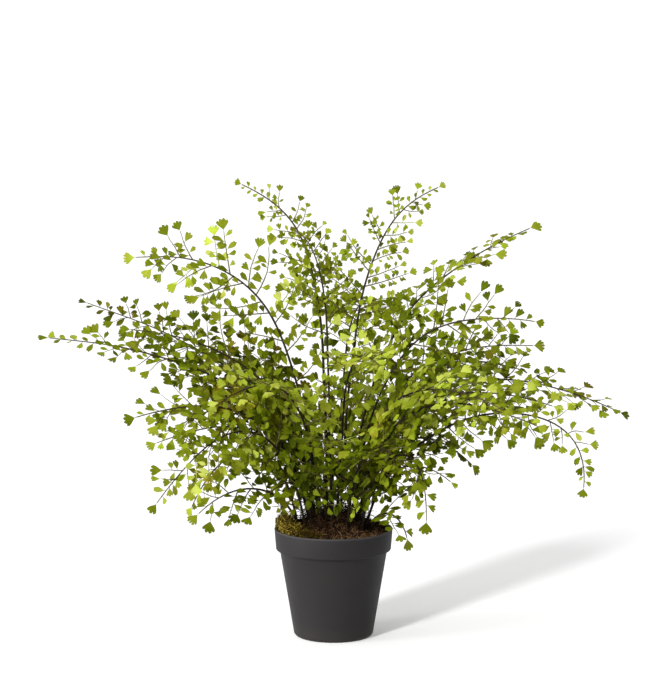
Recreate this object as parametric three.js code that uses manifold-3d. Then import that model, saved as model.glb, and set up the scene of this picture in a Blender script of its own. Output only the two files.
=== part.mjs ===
// A maidenhair fern in a nursery pot: the pot, the soil that fills it, a tuft of moss, and the fronds.
// Millimetres, +Z up. The origin is the middle of the pot's underside, and +Y points away from the front.

import * as THREE from 'three';
import { mergeVertices } from 'three/addons/utils/BufferGeometryUtils.js';
import Module from 'manifold-3d';

const wasm = await Module();
wasm.setup();

const DEG = Math.PI / 180;
const QUARTER = 90 * DEG;
const FIT = 0.3; // clearance between neighbouring pieces
const WELD = 1e-3; // corners closer than this are one

// The pot, a standard 12 cm one: outside sizes, then its wall, its rounded edges and its drain holes
const POT = {
  height: 112,
  rimRadius: 60.6,
  collarHeight: 22,
  collarFootRadius: 59,
  bodyTopRadius: 55.2,
  bodyFootRadius: 41.2,
  footHeight: 6,
  baseRadius: 36.4,
  wall: 2,
  floor: 2.5,
  edge: 0.8,
  sides: 36,
  drains: 4,
  drainRadius: 4,
  drainRing: 22,
  drainSides: 6,
};

// The soil: a flat shelf round the edge, and a lumpy mound that the stems stand in
const SOIL = { shelf: 108, crown: 127, moundRadius: 41, rings: 3, lump: 0.7, lumpSize: 3.5 };

// The moss: a low arc of humps that lies on the shelf between two bearings, highest nearer to the first. Its
// outline across is in shares of its width and height, and its ends are a little over the low height.
const MOSS = {
  from: 148,
  to: 252,
  inner: 43.5,
  outer: 56.4,
  low: 2,
  high: 14.5,
  steps: 14,
  humps: 4.5,
  humpDepth: 0.28,
  endRound: 0.7,
  skew: 1.6,
  across: [[0, 0], [1, 0], [1, 0.62], [0.72, 0.96], [0.38, 0.9], [0, 0.4]],
};

// Stems: half their width at the foot, where the blade starts and at the tip; how far they stand in the
// soil and rise straight out of it; and the ring that the most slanting ones stand on
const STEM = {
  foot: 1.1,
  middle: 0.95,
  tip: 0.45,
  buried: 18,
  upright: 1.5,
  ring: 38,
  ringPower: 1,
  bareSteps: 4,
};

// The bow of a stem: how far out and how high its first control point is, in shares of its reach and of the
// second point's height
const BOW = { most: 0.12, ofSecond: 0.4, height: 0.8 };

// Side branches: the distance between them, their length, and their angle to the stem at the bottom and at
// the tip. Each vary value is the full width of a seeded draw.
const BRANCH = {
  pitch: 17.8,
  varyPlace: 0.25,
  longest: 42,
  taper: 0.6,
  varyLength: 0.3,
  lowAngle: 62,
  highAngle: 46,
  varyAngle: 8,
  varyTilt: 30,
  shorter: [1, 0.7, 0.45],
  seed: 2606,
  seedStep: 97,
};

// Leaflets: fans on a thin rib. The solids keep one in keepEvery of a branch's side leaflets, and full is
// the leaflet length that the distances are given for.
const LEAF = {
  full: 11,
  half: 0.35,
  step: 7.8,
  first: 6.5,
  clearOfTip: 3,
  angle: 62,
  varyAngle: 16,
  varyTilt: 36,
  varySize: 0.25,
  tipSize: 0.8,
  sideSize: 0.95,
  varySide: 0.16,
  fan: 43,
  two: [0.94, 0.8, 0.94],
  three: [0.9, 0.8, 1, 0.8, 0.9],
  threeFrom: 13,
  neck: 0.65,
  keepEvery: 5,
};

// How far a stem's edge may cut a bend short before it gets another point
const STRAY = 0.5;

// Room that sampled points keep round them, and the other tilts that a crowded branch or leaflet tries
const ROOM = { leaf: 1.9, rib: 1.5, stem: 1.5, cell: 8, step: 3 };
const OTHER_TILTS = [0, 14, -14, 28, -28, 42, -42];

// Where a fan leaflet is sampled, as [share of its length, share of its half angle]
const LEAF_SAMPLES = [
  [0.28, 0],
  [0.52, 0],
  [0.62, -0.6],
  [0.62, 0.6],
  [0.85, -0.9],
  [0.85, -0.3],
  [0.85, 0.3],
  [0.85, 0.9],
];

// Each frond: bearing from +X seen from above, how far out and how high its tip is, the height of the bow's
// second control point and its place in shares of the reach, how the blade is rolled (0 flat, 90 upright),
// its leaflet length, the share of the stem that is bare, and how long its side branches are
const FRONDS = [
  { azimuth: 168, reach: 95, height: 463, crown: 430, bow: 0.08, roll: -80, leaf: 8, bare: 0.58, side: 1.25 },
  { azimuth: 202, reach: 41, height: 419, crown: 400, bow: 0.1, roll: -80, leaf: 8.2, bare: 0.62, side: 1.35 },
  { azimuth: 5, reach: 106, height: 461, crown: 430, bow: 0.3, roll: 85, leaf: 8, bare: 0.5, side: 1.65 },
  { azimuth: 23.5, reach: 222, height: 411, crown: 362, bow: 0.33, roll: 4, leaf: 12, bare: 0.42, side: 1 },
  { azimuth: -11, reach: 205, height: 330, crown: 345, bow: 0.38, roll: 80, leaf: 12, bare: 0.42, side: 1.45 },
  { azimuth: 14, reach: 212, height: 294, crown: 300, bow: 0.35, roll: 55, leaf: 12, bare: 0.38, side: 1.15 },
  { azimuth: 6, reach: 296, height: 227, crown: 300, bow: 0.42, roll: 22, leaf: 12, bare: 0.38, side: 1.25 },
  { azimuth: -13, reach: 258, height: 165, crown: 284, bow: 1.04, roll: 75, leaf: 11, bare: 0.42, side: 0.8 },
  { azimuth: -29, reach: 228, height: 236, crown: 275, bow: 0.4, roll: 35, leaf: 12, bare: 0.36, side: 1.15 },
  { azimuth: 22, reach: 155, height: 168, crown: 225, bow: 0.5, roll: 12, leaf: 12, bare: 0.36, side: 1 },
  { azimuth: -38, reach: 118, height: 134, crown: 232, bow: 1.05, roll: 40, leaf: 12.5, bare: 0.4, side: 0.9 },
  { azimuth: -16, reach: 78, height: 106, crown: 140, bow: 0.8, roll: 20, leaf: 12.5, bare: 0.4, side: 1.2 },
  { azimuth: 186, reach: 287, height: 313, crown: 292, bow: 0.38, roll: -32, leaf: 11.5, bare: 0.45, side: 0.78 },
  { azimuth: 167, reach: 261, height: 337, crown: 292, bow: 0.4, roll: -45, leaf: 12.5, bare: 0.36, side: 1 },
  { azimuth: 174.5, reach: 202, height: 389, crown: 396, bow: 0.34, roll: -80, leaf: 12, bare: 0.57, side: 1.18 },
  { azimuth: 240, reach: 224, height: 269, crown: 300, bow: 0.4, roll: -20, leaf: 12, bare: 0.38, side: 1 },
  { azimuth: 203, reach: 212, height: 240, crown: 264, bow: 0.48, roll: -55, leaf: 12, bare: 0.38, side: 1.2 },
  { azimuth: 213.5, reach: 208, height: 160, crown: 262, bow: 0.5, roll: -75, leaf: 11.5, bare: 0.4, side: 1 },
  { azimuth: 166, reach: 151, height: 127, crown: 222, bow: 0.6, roll: -35, leaf: 11.5, bare: 0.42, side: 0.9 },
  { azimuth: 196, reach: 142, height: 135, crown: 172, bow: 0.6, roll: -50, leaf: 11.5, bare: 0.38, side: 1 },
  { azimuth: 282, reach: 208, height: 309, crown: 322, bow: 0.3, roll: 8, leaf: 12, bare: 0.36, side: 0.92 },
  { azimuth: 207, reach: 196, height: 216, crown: 243, bow: 0.45, roll: -45, leaf: 12.5, bare: 0.36, side: 1.2 },
  { azimuth: 266, reach: 145, height: 205, crown: 240, bow: 0.45, roll: -5, leaf: 11.5, bare: 0.32, side: 1 },
  { azimuth: 298, reach: 166, height: 188, crown: 232, bow: 0.5, roll: 20, leaf: 11.5, bare: 0.32, side: 0.95 },
  { azimuth: 314, reach: 235, height: 262, crown: 292, bow: 0.38, roll: 25, leaf: 12, bare: 0.38, side: 1 },
  { azimuth: 36, reach: 244, height: 256, crown: 294, bow: 0.38, roll: 10, leaf: 12, bare: 0.45, side: 0.9 },
  { azimuth: 80, reach: 235, height: 318, crown: 340, bow: 0.33, roll: 5, leaf: 12, bare: 0.6, side: 0.9 },
  { azimuth: 136, reach: 245, height: 262, crown: 292, bow: 0.36, roll: -8, leaf: 12, bare: 0.4, side: 1 },
  { azimuth: 150, reach: 200, height: 195, crown: 260, bow: 0.42, roll: -12, leaf: 12, bare: 0.4, side: 1 },
  { azimuth: 62, reach: 204, height: 186, crown: 245, bow: 0.45, roll: 8, leaf: 11.5, bare: 0.4, side: 0.9 },
  { azimuth: 104, reach: 193, height: 180, crown: 240, bow: 0.45, roll: -6, leaf: 11.5, bare: 0.4, side: 1 },
  { azimuth: 190, reach: 206, height: 322, crown: 305, bow: 0.4, roll: -35, leaf: 12, bare: 0.38, side: 1.45 },
  { azimuth: -3, reach: 222, height: 240, crown: 276, bow: 0.42, roll: 35, leaf: 12, bare: 0.38, side: 1.15 },
  { azimuth: 252, reach: 60, height: 170, crown: 165, bow: 0.5, roll: -20, leaf: 10.5, bare: 0.3, side: 0.7 },
  { azimuth: 305, reach: 72, height: 160, crown: 160, bow: 0.5, roll: 20, leaf: 10.5, bare: 0.3, side: 0.7 },
  { azimuth: 340, reach: 125, height: 168, crown: 196, bow: 0.6, roll: 40, leaf: 11, bare: 0.35, side: 0.8 },
  { azimuth: 222, reach: 85, height: 160, crown: 175, bow: 0.5, roll: -40, leaf: 10.5, bare: 0.3, side: 0.7 },
  { azimuth: 92, reach: 62, height: 190, crown: 180, bow: 0.5, roll: 5, leaf: 10.5, bare: 0.3, side: 0.7 },
];

const FINISH = {
  pot: { color: 0x403d3f, roughness: 0.62, metalness: 0 },
  soil: { color: 0x4a3220, roughness: 0.95, metalness: 0 },
  moss: { color: 0x77782a, roughness: 0.95, metalness: 0 },
  frond: { color: 0x7d9c1e, roughness: 0.55, metalness: 0 },
};

const LEFT = 1;
const RIGHT = -1;
const { lerp, clamp } = THREE.MathUtils;
const vector = (x, y, z) => new THREE.Vector3(x, y, z);
const UP = vector(0, 0, 1);

// Seeded draws between 0 and 1
function seeded(seed) {
  let state = seed >>> 0;
  return () => {
    state = (state + 0x6d2b79f5) >>> 0;
    let mixed = Math.imul(state ^ (state >>> 15), state | 1);
    mixed ^= mixed + Math.imul(mixed ^ (mixed >>> 7), mixed | 61);
    return ((mixed ^ (mixed >>> 14)) >>> 0) / 4294967296;
  };
}

// The point at origin + each direction times its amount
function step(origin, ...moves) {
  const point = origin.clone();
  for (const [direction, amount] of moves) point.addScaledVector(direction, amount);
  return point;
}

// Two directions at right angles, mixed by an angle from the first to the second
function turn(first, second, angle) {
  return step(vector(0, 0, 0), [first, Math.cos(angle)], [second, Math.sin(angle)]);
}

// Solids

// A closed geometry with shared corners, without the flat triangles that a lathe leaves on its axis
function weld(geometry) {
  geometry.deleteAttribute('normal');
  geometry.deleteAttribute('uv');
  const merged = mergeVertices(geometry, WELD);
  const corners = merged.index.array;
  const kept = [];
  for (let i = 0; i < corners.length; i += 3) {
    const [a, b, c] = [corners[i], corners[i + 1], corners[i + 2]];
    if (a !== b && b !== c && c !== a) kept.push(a, b, c);
  }
  merged.setIndex(kept);
  return merged;
}

function toSolid(geometry) {
  const welded = weld(geometry);
  const vertProperties = new Float32Array(welded.attributes.position.array);
  const triVerts = new Uint32Array(welded.index.array);
  return new wasm.Manifold(new wasm.Mesh({ numProp: 3, vertProperties, triVerts }));
}

function fromSolid(solid) {
  const mesh = solid.getMesh();
  const geometry = new THREE.BufferGeometry();
  geometry.setAttribute('position', new THREE.Float32BufferAttribute(mesh.vertProperties, 3));
  geometry.setIndex(Array.from(mesh.triVerts));
  return geometry;
}

// A profile of [radius, height] points turned round the Z axis
function turned(profile) {
  const points = profile.map(([radius, height]) => new THREE.Vector2(radius, height));
  return new THREE.LatheGeometry(points, POT.sides).rotateX(QUARTER);
}

function piece(name, geometry, finish) {
  const mesh = new THREE.Mesh(geometry, new THREE.MeshStandardMaterial(finish));
  mesh.name = name;
  return mesh;
}

// The pot

const COLLAR_FOOT = POT.height - POT.collarHeight;

// The inside of the wall from the floor up, as [radius, height]
const INSIDE = [
  [POT.baseRadius, POT.floor],
  [POT.bodyFootRadius - POT.wall, POT.footHeight],
  [POT.bodyTopRadius - POT.wall, COLLAR_FOOT + POT.wall],
  [POT.collarFootRadius - POT.wall, COLLAR_FOOT + POT.wall + POT.edge],
  [POT.rimRadius - POT.wall, POT.height - POT.edge],
];

// The rounded foot of the wall, at an angle from straight down to straight out
function footPoint(angle) {
  const radius = lerp(POT.baseRadius, POT.bodyFootRadius, Math.sin(angle));
  return [radius, POT.footHeight * (1 - Math.cos(angle))];
}

function potGeometry() {
  const outside = [
    [0, 0],
    footPoint(0),
    footPoint(QUARTER / 2),
    footPoint(QUARTER),
    [POT.bodyTopRadius, COLLAR_FOOT],
    [POT.collarFootRadius - POT.edge, COLLAR_FOOT],
    [POT.collarFootRadius, COLLAR_FOOT + POT.edge],
    [POT.rimRadius, POT.height - POT.edge],
    [POT.rimRadius - POT.edge, POT.height],
    [POT.rimRadius - POT.wall + POT.edge / 2, POT.height],
  ];
  const inside = [...INSIDE].reverse();
  let pot = toSolid(turned([...outside, ...inside, [0, POT.floor]]));
  for (let k = 0; k < POT.drains; k++) {
    const bearing = (4 * QUARTER * (k + 0.5)) / POT.drains;
    const { drainRadius, floor, drainSides } = POT;
    const drain = new THREE.CylinderGeometry(drainRadius, drainRadius, 4 * floor, drainSides)
      .rotateX(QUARTER)
      .translate(POT.drainRing * Math.cos(bearing), POT.drainRing * Math.sin(bearing), 0);
    pot = pot.subtract(toSolid(drain));
  }
  return fromSolid(pot);
}

// The soil

function soilHeight(radius) {
  const share = Math.min(1, radius / SOIL.moundRadius);
  return lerp(SOIL.crown, SOIL.shelf, share * share);
}

function soilGeometry(holes) {
  const wall = INSIDE.slice(0, -1).map(([radius, height]) => [radius - FIT, height + FIT]);
  const [[lowRadius, lowHeight], [highRadius, highHeight]] = INSIDE.slice(-2);
  const edgeShare = (SOIL.shelf - lowHeight) / (highHeight - lowHeight);
  const edge = [lerp(lowRadius, highRadius, edgeShare) - FIT, SOIL.shelf];
  const mound = [];
  for (let k = 0; k <= SOIL.rings; k++) {
    const radius = SOIL.moundRadius * (1 - k / SOIL.rings);
    mound.push([radius, soilHeight(radius)]);
  }
  const geometry = turned([[0, POT.floor + FIT], ...wall, edge, ...mound]);
  const position = geometry.attributes.position;
  for (let i = 0; i < position.count; i++) {
    const [x, y, z] = [position.getX(i), position.getY(i), position.getZ(i)];
    const onMound = z > SOIL.shelf + SOIL.lump && z < SOIL.crown - SOIL.lump;
    const lump = SOIL.lump * Math.sin(x / SOIL.lumpSize) * Math.cos(y / SOIL.lumpSize);
    if (onMound) position.setZ(i, z + lump);
  }
  let soil = toSolid(geometry);
  for (const hole of holes) soil = soil.subtract(toSolid(hole));
  return fromSolid(soil);
}

// The hole that a stem stands in, square like the stem
function holeGeometry(spine) {
  const foot = spine.at(0);
  const width = 2 * (STEM.foot + FIT);
  const bottom = foot.origin.z - STEM.buried - FIT;
  const depth = SOIL.crown + SOIL.lump + FIT - bottom;
  return new THREE.BoxGeometry(width, width, depth)
    .rotateZ(Math.atan2(foot.side.y, foot.side.x))
    .translate(foot.origin.x, foot.origin.y, bottom + depth / 2);
}

// The moss

function mossGeometry() {
  const width = MOSS.outer - MOSS.inner;
  const outline = new THREE.Shape(MOSS.across.map(([out, up]) => new THREE.Vector2(out * width, up)));
  const geometry = new THREE.ExtrudeGeometry(outline, { depth: 1, steps: MOSS.steps, bevelEnabled: false });
  const position = geometry.attributes.position;
  for (let i = 0; i < position.count; i++) {
    const share = position.getZ(i);
    const bearing = lerp(MOSS.to, MOSS.from, share) * DEG;
    const radius = MOSS.inner + position.getX(i);
    const swell = Math.sin(Math.PI * share ** MOSS.skew) ** MOSS.endRound;
    const hump = 1 - MOSS.humpDepth * Math.sin(Math.PI * MOSS.humps * share) ** 2;
    const height = lerp(MOSS.low, MOSS.high, swell * hump);
    const z = SOIL.shelf + FIT + position.getY(i) * height;
    position.setXYZ(i, radius * Math.cos(bearing), radius * Math.sin(bearing), z);
  }
  return weld(geometry);
}

// Fronds

// The middle line of a frond, with the direction, the blade's side and its normal at each place along it
class Spine {
  constructor(frond) {
    const bearing = frond.azimuth * DEG;
    const outward = vector(Math.cos(bearing), Math.sin(bearing), 0);
    this.across = vector(-Math.sin(bearing), Math.cos(bearing), 0);
    this.roll = frond.roll * DEG;
    const lean = Math.atan2(frond.reach, frond.height - SOIL.crown);
    const foot = STEM.ring * Math.min(1, lean / QUARTER) ** STEM.ringPower;
    const start = soilHeight(foot) + STEM.upright;
    const run = frond.reach - foot;
    const firstShare = Math.min(BOW.most, frond.bow * BOW.ofSecond);
    const at = (radius, height) => step(vector(0, 0, height), [outward, radius]);
    this.curve = new THREE.CubicBezierCurve3(
      at(foot, start),
      at(foot + firstShare * run, lerp(start, frond.crown, BOW.height)),
      at(foot + frond.bow * run, frond.crown),
      at(frond.reach, frond.height),
    );
    this.length = this.curve.getLength();
    this.bare = frond.bare * this.length;
  }

  at(place) {
    const share = clamp(place / this.length, 0, 1);
    const along = this.curve.getTangentAt(share);
    const side = turn(this.across, along.clone().cross(this.across), this.roll);
    const normal = along.clone().cross(side);
    return { origin: this.curve.getPointAt(share), along, side, normal, half: this.half(place) };
  }

  half(place) {
    if (place < this.bare) return lerp(STEM.foot, STEM.middle, place / this.bare);
    return lerp(STEM.middle, STEM.tip, (place - this.bare) / (this.length - this.bare));
  }

  // Whether the middle line leaves the straight line between two places on it
  strays(from, to, place) {
    const chord = new THREE.Line3(this.at(from).origin, this.at(to).origin);
    const { origin } = this.at(place);
    return chord.closestPointToPoint(origin, true, vector(0, 0, 0)).distanceTo(origin) > STRAY;
  }
}

// The directions of what leaves a rib to the left or right at an angle, tilted out of the rib's plane
function sprout(rib, hand, angle, tilt) {
  const outward = rib.side.clone().multiplyScalar(hand);
  const along = turn(rib.along, turn(outward, rib.normal, tilt), angle);
  const normal = turn(rib.normal, outward.negate(), tilt);
  return { along, normal, side: normal.clone().cross(along) };
}

// All that a frond bears, from its lowest branch to its tip
function planFrond(frond, index) {
  const draw = seeded(BRANCH.seed + index * BRANCH.seedStep);
  const vary = (width) => (draw() - 0.5) * width;
  const spine = new Spine(frond);
  const scale = frond.leaf / LEAF.full;
  const pitch = BRANCH.pitch * Math.sqrt(scale);
  const count = Math.floor((spine.length - spine.bare - frond.leaf / 2) / pitch);
  const branches = [];
  for (let k = 0; k < count; k++) {
    const share = k / count;
    const longest = BRANCH.longest * scale * frond.side * (1 - share) ** BRANCH.taper;
    const wanted = longest * (1 + vary(BRANCH.varyLength));
    const lone = wanted < frond.leaf;
    const angle = lone ? LEAF.angle : lerp(BRANCH.lowAngle, BRANCH.highAngle, share);
    const branch = {
      place: spine.bare + k * pitch + vary(pitch * BRANCH.varyPlace),
      hand: (k + index) % 2 ? LEFT : RIGHT,
      angle: (angle + vary(BRANCH.varyAngle)) * DEG,
      tilt: vary(BRANCH.varyTilt) * DEG,
      length: lone ? 0 : wanted,
      size: frond.leaf * (1 + vary(LEAF.varySize)) * lerp(1, LEAF.tipSize, share),
      leaves: [],
    };
    const leafStep = LEAF.step * scale;
    for (let place = LEAF.first * scale; place + leafStep < branch.length; place += leafStep) {
      branch.leaves.push({
        place,
        hand: (branch.leaves.length + k) % 2 ? LEFT : RIGHT,
        angle: (LEAF.angle + vary(LEAF.varyAngle)) * DEG,
        tilt: vary(LEAF.varyTilt) * DEG,
        size: branch.size * (LEAF.sideSize + vary(LEAF.varySide)),
      });
    }
    branches.push(branch);
  }
  return { spine, branches, size: frond.leaf };
}

// A point of a fan leaflet, at a share of its length and of its half angle
function fanPoint(origin, frame, size, reach, share) {
  const left = frame.normal.clone().cross(frame.along);
  return step(origin, [turn(frame.along, left, share * LEAF.fan * DEG), size * reach]);
}

function fanSamples(origin, frame, size) {
  return LEAF_SAMPLES.map(([reach, share]) => fanPoint(origin, frame, size, reach, share));
}

function ribSamples(root, along, length) {
  const samples = [];
  for (let place = ROOM.step; place < length; place += ROOM.step) samples.push(step(root, [along, place]));
  return samples;
}

// The room that is taken: sampled points in cells, each with a radius and the piece that it is on
class Room {
  cells = new Map();

  cellOf(point) {
    return point.toArray().map((value) => Math.floor(value / ROOM.cell));
  }

  take(points, radius, owner) {
    for (const point of points) {
      const key = this.cellOf(point).join();
      if (!this.cells.has(key)) this.cells.set(key, []);
      this.cells.get(key).push({ point, radius, owner });
    }
  }

  near(point) {
    const [x, y, z] = this.cellOf(point);
    const steps = [-1, 0, 1];
    const keys = steps.flatMap((i) => steps.flatMap((j) => steps.map((k) => [x + i, y + j, z + k].join())));
    return keys.flatMap((key) => this.cells.get(key) ?? []);
  }

  // Whether no point comes near a taken one, apart from those of an own piece
  free(points, radius, isOwn) {
    const clear = (point, taken) => taken.point.distanceTo(point) >= taken.radius + radius;
    return points.every((point) =>
      this.near(point).every((taken) => isOwn(taken.owner) || clear(point, taken)),
    );
  }
}

const room = new Room();

// A branch or a lone leaflet with its tilt and length where there is room for it, or null
function settleBranch(spine, branch, stem, owner) {
  const rib = spine.at(branch.place);
  const root = step(rib.origin, [rib.side, branch.hand * rib.half]);
  const lone = branch.length === 0;
  const onStem = (other) => other === stem;
  for (const shorter of lone ? [1] : BRANCH.shorter) {
    for (const extra of OTHER_TILTS) {
      const frame = sprout(rib, branch.hand, branch.angle, branch.tilt + extra * DEG);
      const length = branch.length * shorter;
      const onRib = ribSamples(root, frame.along, length);
      const onLeaf = fanSamples(step(root, [frame.along, length]), frame, branch.size);
      const leafFree = room.free(onLeaf, ROOM.leaf, lone ? onStem : () => false);
      if (leafFree && room.free(onRib, ROOM.rib, onStem)) {
        room.take(onRib, ROOM.rib, owner);
        room.take(onLeaf, ROOM.leaf, owner);
        const leaves = branch.leaves.filter((leaf) => leaf.place < length - LEAF.clearOfTip);
        return { ...branch, frame, root, length, leaves, owner };
      }
    }
  }
  return null;
}

// The kept side leaflets of a settled branch, each with a tilt that has room
function settleLeaves(branch) {
  const kept = branch.leaves.filter((leaf, number) => number % LEAF.keepEvery === 1);
  const settled = [];
  for (const leaf of kept) {
    const origin = step(branch.root, [branch.frame.along, leaf.place]);
    const tilts = OTHER_TILTS.map((extra) => leaf.tilt + extra * DEG);
    const frames = tilts.map((tilt) => sprout(branch.frame, leaf.hand, leaf.angle, tilt));
    const isOwn = (other) => other === branch.owner;
    const frame = frames.find((tried) => room.free(fanSamples(origin, tried, leaf.size), ROOM.leaf, isOwn));
    if (frame) {
      room.take(fanSamples(origin, frame, leaf.size), ROOM.leaf, leaf);
      settled.push({ ...leaf, frame, origin });
    }
  }
  return settled;
}

// Every stem takes its room first, then the branches of each frond, then the leaflets on them
function settleFronds(plans) {
  for (const plan of plans) {
    const { spine } = plan;
    plan.tip = spine.at(spine.length);
    for (let place = 0; place < spine.length; place += ROOM.step) {
      room.take([spine.at(place).origin], ROOM.stem, plan);
    }
    room.take(fanSamples(plan.tip.origin, plan.tip, plan.size), ROOM.leaf, plan.tip);
  }
  for (const plan of plans) {
    plan.branches = plan.branches
      .map((branch) => settleBranch(plan.spine, branch, plan, branch))
      .filter((branch) => branch !== null);
  }
  for (const plan of plans) {
    for (const branch of plan.branches) branch.settled = settleLeaves(branch);
  }
}

// The normal halfway between that of a rib and that of what grows from it, which shares out the twist
function between(rib, grown) {
  return rib.normal.clone().add(grown.normal).normalize();
}

// A sheet of triangles with a normal and half a thickness at each point, which thicken closes into a solid
class Sheet {
  points = [];
  triangles = [];

  point(at, normal, half) {
    this.points.push({ at, normal, half });
    return this.points.length - 1;
  }

  // Triangles between a right and a left edge, each a list of [place along, point number]
  strip(right, left) {
    let [i, j] = [0, 0];
    while (i < right.length - 1 || j < left.length - 1) {
      const rightPlace = right[i + 1]?.[0] ?? Infinity;
      const leftPlace = left[j + 1]?.[0] ?? Infinity;
      const rightNext = rightPlace <= leftPlace;
      const next = rightNext ? right[i + 1][1] : left[j + 1][1];
      this.triangles.push([right[i][1], next, left[j][1]]);
      if (rightNext) i += 1;
      else j += 1;
    }
  }

  // A fan leaflet that grows from two neighbouring points of an edge
  fan(origin, frame, size, lobes, from, to) {
    const outer = lobes.map((reach, k) => {
      const share = lerp(-1, 1, k / (lobes.length - 1));
      return this.point(fanPoint(origin, frame, size, reach, share), frame.normal, LEAF.half);
    });
    const middle = (outer.length - 1) / 2;
    this.triangles.push([from, outer[middle], to]);
    for (let k = 0; k < outer.length - 1; k++) {
      this.triangles.push([k < middle ? from : to, outer[k], outer[k + 1]]);
    }
  }

  thicken() {
    const count = this.points.length;
    const corners = [1, -1].flatMap((face) =>
      this.points.flatMap(({ at, normal, half }) => step(at, [normal, face * half]).toArray()),
    );
    const edges = new Set(this.triangles.flatMap(([a, b, c]) => [`${a},${b}`, `${b},${c}`, `${c},${a}`]));
    const index = [];
    for (const [a, b, c] of this.triangles) {
      index.push(a, b, c, c + count, b + count, a + count);
      for (const [p, q] of [[a, b], [b, c], [c, a]]) {
        if (!edges.has(`${q},${p}`)) index.push(q, p, p + count, q, p + count, q + count);
      }
    }
    const geometry = new THREE.BufferGeometry();
    geometry.setAttribute('position', new THREE.Float32BufferAttribute(corners, 3));
    geometry.setIndex(index);
    return geometry;
  }
}

// Adds a settled branch with its leaflets between two neighbouring points of the stem's edge
function growBranch(sheet, branch, from, to) {
  const { frame, root, length } = branch;
  if (length === 0) {
    sheet.fan(root, frame, branch.size, LEAF.two, from, to);
    return;
  }
  const edges = { [RIGHT]: [[0, from]], [LEFT]: [[0, to]] };
  const edgePoint = (place, hand, normal) => {
    const spot = step(root, [frame.along, place], [frame.side, hand * LEAF.half]);
    edges[hand].push([place, sheet.point(spot, normal, LEAF.half)]);
    return edges[hand].at(-1)[1];
  };
  for (const leaf of branch.settled) {
    const shared = between(frame, leaf.frame);
    const lower = edgePoint(leaf.place - LEAF.neck, leaf.hand, shared);
    const upper = edgePoint(leaf.place + LEAF.neck, leaf.hand, shared);
    const [first, last] = leaf.hand === LEFT ? [upper, lower] : [lower, upper];
    sheet.fan(leaf.origin, leaf.frame, leaf.size, LEAF.two, first, last);
  }
  const first = edgePoint(length, RIGHT, frame.normal);
  const last = edgePoint(length, LEFT, frame.normal);
  sheet.strip(edges[RIGHT], edges[LEFT]);
  const lobes = branch.size > LEAF.threeFrom ? LEAF.three : LEAF.two;
  sheet.fan(step(root, [frame.along, length]), frame, branch.size, lobes, first, last);
}

// One edge of a stem, from its buried foot to its tip, with the branches that grow from it
function growEdge(sheet, plan, hand) {
  const { spine, branches } = plan;
  const edge = [];
  const edgePoint = (place, grown) => {
    const rib = spine.at(place);
    const normal = grown ? between(rib, grown) : rib.normal;
    edge.push([place, sheet.point(step(rib.origin, [rib.side, hand * rib.half]), normal, rib.half)]);
    return edge.at(-1)[1];
  };
  const foot = spine.at(0);
  const buried = step(foot.origin, [foot.side, hand * foot.half], [UP, -STEM.buried]);
  const level = vector(foot.normal.x, foot.normal.y, 0).normalize();
  edge.push([-STEM.buried, sheet.point(buried, level, foot.half)]);
  for (let k = 0; k < STEM.bareSteps; k++) edgePoint((spine.bare * k) / STEM.bareSteps);
  const lastBare = edge.at(-1)[0];
  const own = branches.filter((branch) => branch.hand === hand);
  for (const branch of branches) {
    if (branch.hand === hand) {
      const lower = edgePoint(branch.place - LEAF.neck, branch.frame);
      const upper = edgePoint(branch.place + LEAF.neck, branch.frame);
      const [from, to] = hand === LEFT ? [upper, lower] : [lower, upper];
      growBranch(sheet, branch, from, to);
    } else {
      const before = own.findLast((other) => other.place < branch.place)?.place ?? lastBare;
      const after = own.find((other) => other.place > branch.place)?.place ?? spine.length;
      if (spine.strays(before, after, branch.place)) edgePoint(branch.place);
    }
  }
  edgePoint(spine.length);
  return edge;
}

function frondGeometry(plan) {
  const sheet = new Sheet();
  const right = growEdge(sheet, plan, RIGHT);
  const left = growEdge(sheet, plan, LEFT);
  sheet.strip(right, left);
  sheet.fan(plan.tip.origin, plan.tip, plan.size, LEAF.three, right.at(-1)[1], left.at(-1)[1]);
  return sheet.thicken();
}

const plans = FRONDS.map(planFrond);
settleFronds(plans);

const fern = new THREE.Group();
fern.add(piece('pot', potGeometry(), FINISH.pot));
fern.add(piece('soil', soilGeometry(plans.map((plan) => holeGeometry(plan.spine))), FINISH.soil));
fern.add(piece('moss', mossGeometry(), FINISH.moss));
plans.forEach((plan, k) => {
  fern.add(piece(`frond_${String(k + 1).padStart(2, '0')}`, frondGeometry(plan), FINISH.frond));
});

export default fern;
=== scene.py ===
"""A maidenhair fern in a nursery pot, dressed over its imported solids.

Lengths are in millimetres until a mesh is made, which is in metres. The fronds grow by the same seeded rule
as the solids, so every stem, side branch and leaflet sits where its solid is, with finer ones between them.
"""

import logging
import math
from collections.abc import Callable, Sequence
from dataclasses import dataclass, replace
from enum import Enum
from itertools import product

import bpy
import numpy as np
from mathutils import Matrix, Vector, noise


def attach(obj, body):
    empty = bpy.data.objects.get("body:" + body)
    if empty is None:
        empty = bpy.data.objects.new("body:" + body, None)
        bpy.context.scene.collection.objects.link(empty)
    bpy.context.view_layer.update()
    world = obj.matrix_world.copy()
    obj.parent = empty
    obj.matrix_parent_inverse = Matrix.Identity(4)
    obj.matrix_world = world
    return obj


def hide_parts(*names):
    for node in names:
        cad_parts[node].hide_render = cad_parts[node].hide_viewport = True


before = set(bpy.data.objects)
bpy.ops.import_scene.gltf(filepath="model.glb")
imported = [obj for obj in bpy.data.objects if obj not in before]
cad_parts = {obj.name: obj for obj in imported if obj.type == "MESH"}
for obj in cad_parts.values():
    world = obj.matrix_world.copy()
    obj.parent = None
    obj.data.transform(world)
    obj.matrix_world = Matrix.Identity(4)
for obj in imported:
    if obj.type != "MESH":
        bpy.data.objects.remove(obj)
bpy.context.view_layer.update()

log = logging.getLogger("fern")
MM = 0.001
BODY = "root"
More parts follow.
